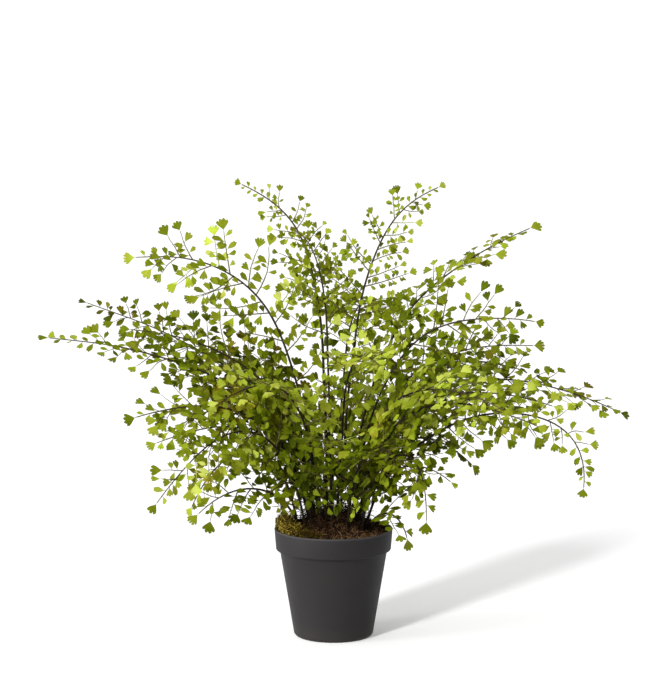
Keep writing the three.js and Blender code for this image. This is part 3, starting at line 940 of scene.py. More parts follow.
class LeafPattern:
    """A closed thin leaflet one unit long, ready to be set in place many times."""

    def __init__(self, outline: LeafOutline) -> None:
        """Lays out the points and triangles of an outline.

        Args:
            outline: the outline.
        """
        rows = [[(0.0, 0.0)]]
        for reach, count in outline.rows:
            across = np.linspace(-1, 1, count).tolist()
            rows.append([(share, reach * outline.reach(share)) for share in across])
        rows.append(outline.margin())
        shares, reaches = np.array([spot for row in rows for spot in row]).T
        numbered, start = [], 0
        for row in rows:
            numbered.append([(share, start + k) for k, (share, _) in enumerate(row)])
            start += len(row)
        faces: list[tuple[int, int, int]] = []
        for inner, outer in zip(numbered, numbered[1:]):
            faces += band(inner, outer)
        angles = np.radians(outline.low + (outline.high - outline.low) * (shares + 1) / 2)
        blade = reaches * (1 - outline.stalk)
        flat = np.stack([np.sin(angles) * blade, outline.stalk + np.cos(angles) * blade], -1)
        count = len(flat)
        left = [row[0][1] for row in numbered[1:-1]]
        right = [row[-1][1] for row in numbered[1:-1]]
        rim = [0, *left, *[number for _, number in numbered[-1]], *reversed(right)]
        walls = []
        for a, b in zip(rim, rim[1:] + rim[:1]):
            walls += [(a, b, b + count), (a, b + count, a + count)]
        top = np.array(faces)
        self.triangles = np.concatenate([top, top[:, ::-1] + count, np.array(walls)])
        self.flat = np.concatenate([flat, flat])
        self.face = np.repeat([1.0, -1.0], count)
        self.reach = np.tile(reaches, 2)
        self.spread = np.tile(shares, 2)


@dataclass(frozen=True)
class LeafSpot:
    """A leaflet as it is set in place: its origin, axes, length and form, its side and its tone."""

    origin: Array
    axes: Axes
    size: float
    form: LeafForm
    hand: Hand
    tone: float


@dataclass
class Leaflets:
    """Sets patterns of leaflets in place, each rolled towards the light and bent a little in its own way."""

    seed: int = 4100
    thickness: float = 0.26
    facing: float = 0.55
    vary_roll: float = 0.22
    cup: Pair = (-0.32, 0.1)
    droop: Pair = (-0.16, 0.05)
    ripple: Pair = (0.01, 0.04)
    ripples: float = 7
    under_tone: float = 0.05
    light: Point = (-0.12, -0.8, 0.6)

    OUTLINES = {
        LeafForm.FAN: [
            LeafOutline(-46, 42, 4, 0.3, 0.04, 0.14, 11),
            LeafOutline(-40, 46, 5, 0.26, 0.06, 0.1, 12),
            LeafOutline(-38, 40, 3, 0.4, 0.0, 0.16, 13),
            LeafOutline(-50, 40, 4, 0.38, -0.06, 0.12, 14),
            LeafOutline(-34, 44, 3, 0.42, 0.1, 0.06, 15),
        ],
        LeafForm.HALF: [
            LeafOutline(-12, 46, 4, 0.14, 0.3, 0.2, 21),
            LeafOutline(-16, 40, 3, 0.2, 0.24, 0.26, 22),
            LeafOutline(-10, 44, 4, 0.18, 0.36, 0.16, 23),
        ],
        LeafForm.OVAL: [
            LeafOutline(-28, 34, 4, 0.09, 0.1, 0.7, 31),
            LeafOutline(-32, 30, 4, 0.12, -0.08, 0.64, 32),
            LeafOutline(-26, 28, 3, 0.14, 0.0, 0.56, 33),
        ],
        LeafForm.WEDGE: [
            LeafOutline(-30, 30, 3, 0.24, 0.0, 0.1, 41),
            LeafOutline(-26, 34, 3, 0.3, 0.06, 0.14, 42),
        ],
    }

    def __post_init__(self) -> None:
        """Makes the patterns and starts the row of random bends."""
        self.draws = np.random.default_rng(self.seed)
        self.patterns = {form: [LeafPattern(kind) for kind in kinds] for form, kinds in self.OUTLINES.items()}

    def set_in(self, skin: Skin, spots: Sequence[LeafSpot], slot: int) -> None:
        """Adds leaflets to a skin, each with one of its form's patterns.

        Args:
            skin: the piece that they belong to.
            spots: where they are.
            slot: the number of their material.
        """
        chosen: dict[tuple[LeafForm, int], list[LeafSpot]] = {}
        for spot in spots:
            number = int(self.draws.integers(len(self.patterns[spot.form])))
            chosen.setdefault((spot.form, number), []).append(spot)
        for (form, number), group in chosen.items():
            self._set_group(skin, self.patterns[form][number], group, slot)

    def _set_group(self, skin: Skin, pattern: LeafPattern, group: Sequence[LeafSpot], slot: int) -> None:
        """Adds all leaflets of one pattern.

        Args:
            skin: the piece that they belong to.
            pattern: the pattern.
            group: where they are.
            slot: the number of their material.
        """
        count = len(group)
        origins = np.array([spot.origin for spot in group])
        along = np.array([spot.axes.along for spot in group])
        normal = np.array([spot.axes.normal for spot in group])
        left = np.cross(normal, along)
        light = unit(np.array(self.light))
        to_light = np.arctan2(left @ light, normal @ light)
        nearest = to_light - np.round(to_light / math.pi) * math.pi
        roll = (self.facing * nearest + self.draws.normal(0, self.vary_roll, count))[:, None]
        cos, sin = np.cos(roll), np.sin(roll)
        left, normal = cos * left - sin * normal, cos * normal + sin * left
        size = np.array([[spot.size] for spot in group])
        mirror = np.array([[float(spot.hand.value)] for spot in group])
        cup, droop, ripple, phase = (
            self.draws.uniform(*most, (count, 1)) for most in (self.cup, self.droop, self.ripple, PHASES)
        )
        x = pattern.flat[:, 0] * mirror
        y = np.broadcast_to(pattern.flat[:, 1], x.shape)
        wave = np.sin(self.ripples * pattern.spread + phase)
        bend = cup * x**2 + droop * y**2 + ripple * wave * pattern.reach**2
        z = bend * size + pattern.face * self.thickness / 2
        points = origins[:, None] + (x * size)[..., None] * left[:, None]
        points = points + (y * size)[..., None] * along[:, None] + z[..., None] * normal[:, None]
        triangles = pattern.triangles[None] + (np.arange(count) * len(pattern.flat))[:, None, None]
        flipped = mirror[:, 0] < 0
        triangles[flipped] = triangles[flipped][:, :, ::-1]
        tone = np.array([[spot.tone] for spot in group]) - self.under_tone * (pattern.face[None] < 0)
        reach, spread = np.tile(pattern.reach, count), np.tile(pattern.spread, count)
        skin.add(points, triangles, slot, {Mark.TONE: tone, Mark.REACH: reach, Mark.SPREAD: spread})


# Finishes


class Nodes:
    """Adds nodes to a shader tree and links them in one go."""

    def __init__(self, tree: bpy.types.NodeTree) -> None:
        """Works on a tree."""
        self.tree = tree

    def add(
        self, kind: str, inputs: dict[str | int, object] | None = None, **settings: object
    ) -> bpy.types.Node:
        """Adds a node.

        Args:
            kind: the node's type, without the ShaderNode in front.
            inputs: a number, a colour or an output socket for each named or numbered input.
            settings: the node's own settings.

        Returns:
            The new node.
        """
        node = self.tree.nodes.new(f"ShaderNode{kind}")
        for key, value in settings.items():
            setattr(node, key, value)
        for key, value in (inputs or {}).items():
            if isinstance(value, Socket):
                self.tree.links.new(value, node.inputs[key])
            else:
                node.inputs[key].default_value = (*value, 1) if isinstance(value, tuple) else value
        return node

    def maths(self, operation: str, *values: Socket | float) -> Socket:
        """The result of a Math node on one to three numbers or sockets."""
        return self.add("Math", dict(enumerate(values)), operation=operation).outputs[0]

    def vary(self, base: Socket | float, width: float, mask: Socket) -> Socket:
        """A number that a mask from 0 to 1 raises by up to a width."""
        return self.maths("MULTIPLY_ADD", mask, width, base)

    def between(self, value: Socket, start: float, end: float) -> Socket:
        """Where a number is between two others, from 0 to 1."""
        return self.add("MapRange", {"Value": value, "From Min": start, "From Max": end}).outputs[0]

    def mark(self, mark: Mark) -> Socket:
        """The number that the piece's points carry under a mark."""
        return self.add("Attribute", attribute_name=mark.value).outputs["Fac"]

    def place(self) -> Socket:
        """The place on the object, in metres."""
        return self.add("TexCoord").outputs["Object"]

    def grained(self, place: Socket, scale: Socket | float, detail: float) -> Socket:
        """A noise over the object, from 0 to 1."""
        return self.add("TexNoise", {"Vector": place, "Scale": scale, "Detail": detail}).outputs["Fac"]

    def ramp(self, value: Socket, stops: Stops) -> Socket:
        """Colours that a number runs through.

        Args:
            value: the number.
            stops: the colours, each with its place from 0 to 1.

        Returns:
            The colour.
        """
        node = self.add("ValToRGB", {0: value})
        elements = node.color_ramp.elements
        while len(elements) < len(stops):
            elements.new(1.0)
        for element, (place, colour) in zip(elements, stops):
            element.position = place
            element.color = (*colour, 1)
        return node.outputs["Color"]

    def mix(
        self, share: Socket | float, first: Socket | Colour, second: Socket | Colour, blend: str = "MIX"
    ) -> Socket:
        """Two colours mixed by a share."""
        return self.add("Mix", {0: share, 6: first, 7: second}, data_type="RGBA", blend_type=blend).outputs[2]

    def group(self, tree: bpy.types.NodeTree, **inputs: float) -> Socket:
        """The output of a node group set in place with its own values."""
        return self.add("Group", inputs, node_tree=tree).outputs[0]

    def bump(self, height: Socket, strength: float, depth: float) -> Socket:
        """A normal that follows a height, which is up to a depth in metres."""
        return self.add("Bump", {"Height": height, "Strength": strength, "Distance": depth}).outputs[0]

    def shader(self, colour: Socket, rough: Socket, normal: Socket, gloss: float) -> bpy.types.Node:
        """A Principled shader, with its specular level as a constant of its own."""
        inputs = {"Base Color": colour, "Roughness": rough, "Normal": normal, "Specular IOR Level": gloss}
        return self.add("BsdfPrincipled", inputs)


class Effects:
    """The node groups that more than one finish uses, each built once."""

    def __init__(self) -> None:
        """Builds the groups."""
        self.mottle = self._group("mottle", {"Scale": 60.0, "Fine": 0.4}, "Mask", self._mottle)
        self.grain = self._group("grain", {"Scale": 900.0, "Pits": 0.3}, "Height", self._grain)

    @staticmethod
    def _group(
        name: str, inputs: dict[str, float], output: str, fill: Callable[[Nodes, dict[str, Socket]], Socket]
    ) -> bpy.types.NodeTree:
        """A shader node group with named number inputs and one number output.

        Args:
            name: the group's name.
            inputs: the name and default of each input.
            output: the name of its output.
            fill: adds the nodes between, from the group's inputs to the socket of its result.

        Returns:
            The group's tree.
        """
        tree = bpy.data.node_groups.new(name, "ShaderNodeTree")
        for socket, value in inputs.items():
            made = tree.interface.new_socket(socket, in_out="INPUT", socket_type="NodeSocketFloat")
            made.default_value = value
        tree.interface.new_socket(output, in_out="OUTPUT", socket_type="NodeSocketFloat")
        source, sink = tree.nodes.new("NodeGroupInput"), tree.nodes.new("NodeGroupOutput")
        tree.links.new(fill(Nodes(tree), source.outputs), sink.inputs[output])
        return tree

    @staticmethod
    def _mottle(nodes: Nodes, inputs: dict[str, Socket]) -> Socket:
        """Soft blotches, from 0 to 1, coarse ones with finer ones in them.

        Args:
            nodes: adds the group's nodes.
            inputs: the group's own inputs.

        Returns:
            The blotches.
        """
        place = nodes.place()
        coarse = nodes.between(nodes.grained(place, inputs["Scale"], 2.0), 0.3, 0.7)
        fine = nodes.grained(place, nodes.maths("MULTIPLY", inputs["Scale"], 5.3), 3.0)
        return nodes.add("Mix", {0: inputs["Fine"], 2: coarse, 3: fine}, data_type="FLOAT").outputs[0]

    @staticmethod
    def _grain(nodes: Nodes, inputs: dict[str, Socket]) -> Socket:
        """A fine grained height, from 0 to 1.

        Args:
            nodes: adds the group's nodes.
            inputs: the group's own inputs.

        Returns:
            The height.
        """
        place = nodes.place()
        cells = nodes.add("TexVoronoi", {"Vector": place, "Scale": inputs["Scale"]})
        pits = nodes.maths("MULTIPLY", cells.outputs["Distance"], inputs["Pits"])
        return nodes.maths("ADD", nodes.grained(place, inputs["Scale"], 2.0), pits)


class Finish:
    """What every finish shares: a new material with an empty tree, which its own shader ends."""

    name: str

    def shade(self, nodes: Nodes, effects: Effects) -> bpy.types.Node:
        """Adds the finish's own nodes.

        Args:
            nodes: adds the material's nodes.
            effects: the shared node groups.

        Returns:
            The shader.
        """
        raise NotImplementedError

    def material(self, effects: Effects) -> Material:
        """Makes the material.

        Args:
            effects: the shared node groups.

        Returns:
            The material.
        """
        made = bpy.data.materials.new(self.name)
        made.use_nodes = True
        made.node_tree.nodes.clear()
        nodes = Nodes(made.node_tree)
        nodes.add("OutputMaterial", {"Surface": self.shade(nodes, effects).outputs[0]})
        return made


@dataclass(frozen=True)
class PotPlastic(Finish):
    """Satin dark plastic with a moulded grain, a painted highlight along its top edge and a little dust."""

    name: str = "pot plastic"
    colour: Colour = (0.0118, 0.0104, 0.0114)
    rim_highlight: Colour = (0.06, 0.057, 0.058)
    dust: Colour = (0.06, 0.048, 0.036)
    roughness: float = 0.52
    rim_height: float = 0.112
    rim_highlight_depth: float = 0.0022
    dusty_foot: float = 0.018

    def shade(self, nodes: Nodes, effects: Effects) -> bpy.types.Node:
        """Adds the plastic's nodes.

        Args:
            nodes: adds the material's nodes.
            effects: the shared node groups.

        Returns:
            The shader.
        """
        height = nodes.add("SeparateXYZ", {0: nodes.place()}).outputs["Z"]
        mottle = nodes.group(effects.mottle, Scale=28.0, Fine=0.35)
        # Painted highlight: the top edge of the rim is paler, in patches.
        rim = nodes.between(height, self.rim_height - self.rim_highlight_depth, self.rim_height)
        rim = nodes.maths("MULTIPLY", rim, nodes.vary(0.35, 0.6, mottle))
        foot = nodes.maths("MULTIPLY", nodes.between(height, self.dusty_foot, 0.0), 0.12)
        colour = nodes.mix(rim, self.colour, self.rim_highlight)
        colour = nodes.mix(nodes.vary(foot, 0.07, mottle), colour, self.dust)
        bump = nodes.bump(nodes.group(effects.grain, Scale=1400.0, Pits=0.5), 0.12, 0.0002)
        return nodes.shader(colour, nodes.vary(self.roughness, 0.12, mottle), bump, 0.17)


@dataclass(frozen=True)
class LeafGreen(Finish):
    """A thin green blade: its tone, fan-shaped veins, a paler base, and light that comes through it."""

    name: str = "leaf green"
    stops: Stops = (
        (0.0, (0.032, 0.044, 0.001)),
        (0.3, (0.09, 0.118, 0.002)),
        (0.55, (0.184, 0.22, 0.007)),
        (0.8, (0.32, 0.372, 0.028)),
        (1.0, (0.5, 0.56, 0.11)),
    )
    rust: Colour = (0.3, 0.17, 0.012)
    warm: Colour = (1.09, 0.98, 1.5)
    cool: Colour = (0.88, 1.02, 0.15)
    glow: Colour = (1.15, 1.12, 0.8)
    veins: float = 34
    through: float = 0.38

    def shade(self, nodes: Nodes, effects: Effects) -> bpy.types.Node:
        """Adds the blade's nodes.

        Args:
            nodes: adds the material's nodes.
            effects: the shared node groups.

        Returns:
            The shader.
        """
        tone, reach, spread = (nodes.mark(mark) for mark in Mark)
        mottle = nodes.group(effects.mottle, Scale=160.0, Fine=0.5)
        wave = nodes.maths("ABSOLUTE", nodes.maths("SINE", nodes.maths("MULTIPLY", spread, self.veins)))
        vein = nodes.maths("MULTIPLY", nodes.maths("POWER", wave, 5.0), reach)
        tone = nodes.vary(nodes.maths("SUBTRACT", tone, 0.1), 0.2, mottle)
        tone = nodes.vary(tone, 0.07, vein)
        tone = nodes.vary(tone, 0.1, nodes.maths("SUBTRACT", 1.0, reach))
        hue = nodes.mix(nodes.group(effects.mottle, Scale=70.0, Fine=0.3), self.cool, self.warm)
        green = nodes.mix(1.0, nodes.ramp(tone, self.stops), hue, "MULTIPLY")
        patches = nodes.between(nodes.group(effects.mottle, Scale=14.0, Fine=0.2), 0.7, 0.95)
        edge = nodes.vary(0.35, 0.5, nodes.maths("POWER", reach, 3.0))
        colour = nodes.mix(nodes.maths("MULTIPLY", patches, edge), green, self.rust)
        grain = nodes.maths("MULTIPLY", nodes.group(effects.grain, Scale=700.0, Pits=0.2), 0.4)
        bump = nodes.bump(nodes.vary(grain, 0.8, vein), 0.25, 0.0002)
        face = nodes.shader(colour, nodes.vary(0.5, 0.15, mottle), bump, 0.05)
        lit = nodes.mix(1.0, colour, self.glow, "MULTIPLY")
        behind = nodes.add("BsdfTranslucent", {"Color": lit, "Normal": bump})
        return nodes.add("MixShader", {0: self.through, 1: face.outputs[0], 2: behind.outputs[0]})


@dataclass(frozen=True)
class StemDark(Finish):
    """Wiry polished stems: purple-black below, paler and redder towards the tips."""

    name: str = "stem dark"
    stops: Stops = (
        (0.0, (0.01, 0.007, 0.004)),
        (0.45, (0.027, 0.018, 0.008)),
        (0.8, (0.09, 0.078, 0.014)),
        (0.88, (0.09, 0.078, 0.014)),
        (1.0, (0.26, 0.32, 0.05)),
    )

    def shade(self, nodes: Nodes, effects: Effects) -> bpy.types.Node:
        """Adds the stems' nodes.

        Args:
            nodes: adds the material's nodes.
            effects: the shared node groups.

        Returns:
            The shader.
        """
        mottle = nodes.group(effects.mottle, Scale=90.0, Fine=0.4)
        run = nodes.maths("ADD", nodes.mark(Mark.REACH), nodes.vary(-0.12, 0.24, mottle))
        colour = nodes.ramp(nodes.maths("MULTIPLY", run, 0.8), self.stops)
        bump = nodes.bump(nodes.group(effects.grain, Scale=1100.0, Pits=0.4), 0.2, 0.0001)
        return nodes.shader(colour, nodes.vary(0.38, 0.15, mottle), bump, 0.1)


@dataclass(frozen=True)
class FibreTangle(Finish):
    """Loose strands over a darker body, each strand with its own tone."""

    name: str
    stops: Stops
    scale: float

    def shade(self, nodes: Nodes, effects: Effects) -> bpy.types.Node:
        """Adds the strands' nodes.

        Args:
            nodes: adds the material's nodes.
            effects: the shared node groups.

        Returns:
            The shader.
        """
        mottle = nodes.group(effects.mottle, Scale=self.scale, Fine=0.5)
        run = nodes.maths("ADD", nodes.mark(Mark.TONE), nodes.vary(-0.2, 0.4, mottle))
        bump = nodes.bump(nodes.group(effects.grain, Scale=self.scale * 5, Pits=0.8), 0.6, 0.0006)
        return nodes.shader(nodes.ramp(run, self.stops), nodes.vary(0.75, 0.15, mottle), bump, 0.06)


@dataclass(frozen=True)
class FloorPaper(Finish):
    """Pale matt paper that glows a little."""

    name: str = "floor paper"
    colour: Colour = (0.95, 0.95, 0.95)
    glow: float = 0.2

    def shade(self, nodes: Nodes, effects: Effects) -> bpy.types.Node:
        """Adds the paper's shader.

        Args:
            nodes: adds the material's nodes.
            effects: the shared node groups, not used here.

        Returns:
            The shader.
        """
        inputs = {"Base Color": self.colour, "Roughness": 0.9, "Specular IOR Level": 0.0}
        glow = {"Emission Color": (1.0, 1.0, 1.0), "Emission Strength": self.glow}
        return nodes.add("BsdfPrincipled", inputs | glow)


COIR = FibreTangle(
    "coir",
    (
        (0.0, (0.004, 0.002, 0.002)),
        (0.4, (0.029, 0.013, 0.005)),
        (0.7, (0.105, 0.054, 0.022)),
        (1.0, (0.3, 0.18, 0.08)),
    ),
    220.0,
)
MOSS_TANGLE = FibreTangle(
    "moss tangle",
    (
        (0.0, (0.008, 0.003, 0.001)),
        (0.4, (0.036, 0.021, 0.002)),
        (0.7, (0.15, 0.108, 0.007)),
        (1.0, (0.5, 0.38, 0.07)),
    ),
    260.0,
)


# Pieces


def dress(piece: Object, node: str) -> Object:
    """Makes a piece ride on the body in place of a node, whose solid it hides.

    Args:
        piece: the piece.
        node: the solid that it stands for.

    Returns:
        The piece.
    """
    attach(piece, BODY)
    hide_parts(node)
    return piece


@dataclass
class Pot:
    """The nursery pot: a tapered body, a deep collar with rounded edges, a rounded foot and drain holes."""

    height: float = 112
    rim_radius: float = 60.6
    collar_height: float = 22
    collar_foot_radius: float = 59
    body_top_radius: float = 55.2
    body_foot_radius: float = 41.2
    foot_height: float = 6
    base_radius: float = 36.4
    wall: float = 2
    floor: float = 2.5
    edge: float = 0.8
    soft_edge: float = 1.5
    under_depth: float = 1.2
    under_step: float = 0.5
    drains: int = 4
    drain_radius: float = 4
    drain_ring: float = 22
    drill: float = 9
    drill_sides: int = 32
    segments: int = 160
    finish: PotPlastic = PotPlastic()

    @staticmethod
    def _round(centre: Pair, radius: float, start: float, end: float) -> list[Pair]:
        """A rounded corner round a centre, from one angle to another in degrees."""
        angles = np.radians(np.linspace(start, end, 7))
        return [(centre[0] + radius * math.cos(a), centre[1] + radius * math.sin(a)) for a in angles]

    def profile(self) -> list[Pair]:
        """The pot's section.

        Returns:
            Radius and height, from the middle of its underside round to the middle of its floor.
        """
        foot = []
        for angle in np.radians(np.linspace(0, 90, 9)):
            radius = lerp(self.base_radius, self.body_foot_radius, math.sin(angle))
            foot.append((radius, self.foot_height * (1 - math.cos(angle))))
        low, soft, edge = self.height - self.collar_height, self.soft_edge, self.edge
        lean = (self.body_top_radius - self.body_foot_radius) / (low - self.foot_height)
        under = [
            (self.body_top_radius - lean * self.under_depth, low - self.under_depth),
            (self.body_top_radius + self.under_step, low),
        ]
        collar = self._round((self.collar_foot_radius - soft, low + soft), soft, -90, 0)
        lip = self._round((self.rim_radius - edge, self.height - edge), edge, 0, 90)
        inner = self._round((self.rim_radius - self.wall + edge, self.height - edge), edge, 90, 180)
        inside = [
            (self.collar_foot_radius - self.wall, low + self.wall + edge),
            (self.body_top_radius - self.wall, low + self.wall),
            (self.body_foot_radius - self.wall, self.foot_height),
            (self.base_radius, self.floor),
        ]
        return [(0, 0), *foot, *under, *collar, *lip, *inner, *inside, (0, self.floor)]

    def build(self, effects: Effects) -> Object:
        """Makes the pot and cuts its drain holes.

        Args:
            effects: the shared node groups.

        Returns:
            The pot's object.
        """
        skin = Skin()
        skin.add(*lathe(self.profile(), self.segments))
        pot = skin.piece("nursery_pot", [self.finish.material(effects)], 35)
        cutter = Skin()
        section = [(0, -self.drill), (self.drain_radius, -self.drill), (self.drain_radius, self.drill)]
        points, faces = lathe([*section, (0, self.drill)], self.drill_sides)
        for k in range(self.drains):
            bearing = 2 * math.pi * (k + 0.5) / self.drains
            cutter.add(points + np.array([math.cos(bearing), math.sin(bearing), 0]) * self.drain_ring, faces)
        drills = cutter.piece("drills", [])
        cut = pot.modifiers.new("drain holes", "BOOLEAN")
        cut.operation, cut.object, cut.solver = "DIFFERENCE", drills, "EXACT"
        whole = pot.evaluated_get(bpy.context.evaluated_depsgraph_get())
        mesh = bpy.data.meshes.new_from_object(whole)
        pot.modifiers.clear()
        pot.data = mesh
        bpy.data.objects.remove(drills)
        return dress(pot, "pot")


@dataclass(frozen=True)
class StrandKind:
    """One kind of strand: how many, their length and radius, how steeply they rise, and their tones."""

    count: int
    length: Pair
    radius: Pair
    lift: float
    tone: tuple[float, float | Array]


@dataclass
class Strands:
    """Makes many short curled strands on a surface, held inside the pot and a little above its mouth."""

    seed: int
    most_below: float
    most_above: float
    lowest: float = 0
    mouth: float = 113
    rise: Pair = (0.2, 1.0)
    droop: float = 0.8
    stray: float = 0.9
    curl: Pair = (0.6, 3.2)
    wobble: float = 0.25
    wobbles: float = 9
    taper: tuple[float, ...] = (0.7, 1, 1, 0.85, 0.4)

    def __post_init__(self) -> None:
        """Starts the row of random numbers."""
        self.draws = np.random.default_rng(self.seed)

    def _held(self, paths: Array) -> Array:
        """Moves points back inside the pot.

        Args:
            paths: the points.

        Returns:
            The moved points.
        """
        radius = np.hypot(paths[..., 0], paths[..., 1])
        most = np.where(paths[..., 2] < self.mouth, self.most_below, self.most_above)
        held = paths.copy()
        held[..., :2] *= np.minimum(1, most / np.maximum(radius, 1e-6))[..., None]
        held[..., 2] = np.maximum(held[..., 2], self.lowest)
        return held

    def lay(self, skin: Skin, starts: Array, ups: Array, kind: StrandKind) -> None:
        """Adds one strand at each start.

        Args:
            skin: the piece that they belong to.
            starts: where they start.
            ups: the surface's direction out, at each start.
            kind: their sizes and tones.
        """
        count = len(starts)
        around = unit(np.cross(ups, self.draws.normal(size=(count, 3))))
        rise = self.draws.uniform(*self.rise, (count, 1)) * kind.lift
        heading = unit(around * (1 - rise) + ups * rise)
        bend_to = unit(-ups * self.droop + unit(self.draws.normal(size=(count, 3))) * self.stray)
        bend_to = unit(bend_to - heading * np.sum(bend_to * heading, axis=1, keepdims=True))
        across = np.cross(heading, bend_to)
        total = self.draws.uniform(*kind.length, (count, 1))
        curl = self.draws.uniform(*self.curl, (count, 1))
        share = np.linspace(0, 1, len(self.taper))[None, :, None]
        arc = curl[:, :, None] * share
        scale = (total / curl)[:, :, None]
        bent = np.sin(arc) * heading[:, None] + (1 - np.cos(arc)) * bend_to[:, None]
        wobble = np.sin(share * self.wobbles + self.draws.uniform(0, 6, (count, 1, 1))) * self.wobble
        paths = self._held(starts[:, None] + scale * bent + wobble * across[:, None])
        radii = self.draws.uniform(*kind.radius, (count, 1)) * np.array(self.taper)[None]
        points, triangles = tubes(paths, radii, across, 3)
        tones = np.repeat(self.draws.uniform(*kind.tone, count), points.shape[1])
        skin.add(points, triangles, 0, {Mark.TONE: tones})


@dataclass
class Soil:
    """The ball of coir and root fibre: a body that fills the pot, and loose strands all over its mound."""

    shape: SoilShape = SOIL
    inside: tuple[Pair, ...] = ((36.1, 2.8), (38.9, 6.3), (52.9, 92.3), (56.7, 93.1))
    rings: int = 40
    segments: int = 150
    lump: float = 1.5
    lump_width: float = 13
    grit: float = 0.55
    grit_width: float = 2.1
    calm: float = 0.35
    calm_width: float = 6
    slope: float = 0.8
    loose: StrandKind = StrandKind(3700, (4, 12), (0.1, 0.26), 0.6, (0.12, 1.0))
    upright: StrandKind = StrandKind(760, (9, 34), (0.16, 0.38), 1.0, (0.0, 0.45))
    crown_radius: float = 33
    least_radius: float = 0.9
    most_radius: float = 57.8
    inset: float = 0.6
    overhang: float = 1.5
    sunk: float = 0.3
    body_tone: float = 0.12
    seed: int = 71

    def top(self, x: float, y: float) -> float:
        """The height of the rough soil over a point.

        Args:
            x: the point's place to the right.
            y: its place to the back.

        Returns:
            The height.
        """
        radius = math.hypot(x, y)
        coarse = noise.fractal(Vector((x / self.lump_width, y / self.lump_width, 1.7)), 0.9, 2.1, 4)
        fine = noise.noise(Vector((x / self.grit_width, y / self.grit_width, 5.1)))
        edge = min(1.0, max(0.0, (self.most_radius - radius) / self.calm_width))
        rough = coarse * self.lump + fine * self.grit
        return self.shape.height(radius) + rough * (self.calm + (1 - self.calm) * edge)

    def spots(self, draws: np.random.Generator, count: int, most: float) -> tuple[Array, Array]:
        """Where strands start.

        Args:
            draws: the strands' random numbers.
            count: how many strands there are.
            most: how far from the pot's axis they start.

        Returns:
            The starts, and the soil's direction out at each.
        """
        radius = np.sqrt(draws.uniform(0, 1, count)) * most
        bearing = draws.uniform(0, 2 * math.pi, count)
        flat = np.stack([radius * np.cos(bearing), radius * np.sin(bearing)], -1)
        heights = np.array([self.top(x, y) for x, y in flat]) - self.sunk
        starts = np.concatenate([flat, heights[:, None]], axis=1)
        slope = np.clip(radius / self.shape.mound_radius, 0, 1)[:, None] * self.slope
        lean = flat / np.maximum(radius[:, None], 1) * slope
        return starts, unit(np.concatenate([lean, np.ones((count, 1))], 1))

    def build(self, effects: Effects) -> Object:
        """Makes the body and lays the strands.

        Args:
            effects: the shared node groups.

        Returns:
            The soil's object.
        """
        radii = np.linspace(self.most_radius, self.least_radius, self.rings)
        profile = [(0, self.inside[0][1]), *self.inside]
        profile += [(float(radius), self.shape.height(radius)) for radius in radii]
        points, faces = lathe([*profile, (0, self.shape.crown)], self.segments)
        for row in range(len(self.inside) * self.segments, len(points)):
            if points[row, 2] > self.shape.shelf - 1:
                points[row, 2] = self.top(points[row, 0], points[row, 1])
        skin = Skin()
        skin.add(points, faces, 0, {Mark.TONE: self.body_tone})
        strands = Strands(self.seed, self.most_radius - self.inset, self.most_radius + self.overhang)
        for kind, most in ((self.loose, self.most_radius - 1), (self.upright, self.crown_radius)):
            strands.lay(skin, *self.spots(strands.draws, kind.count, most), kind)
        return dress(skin.piece("coir_soil", [COIR.material(effects)], 80), "soil")


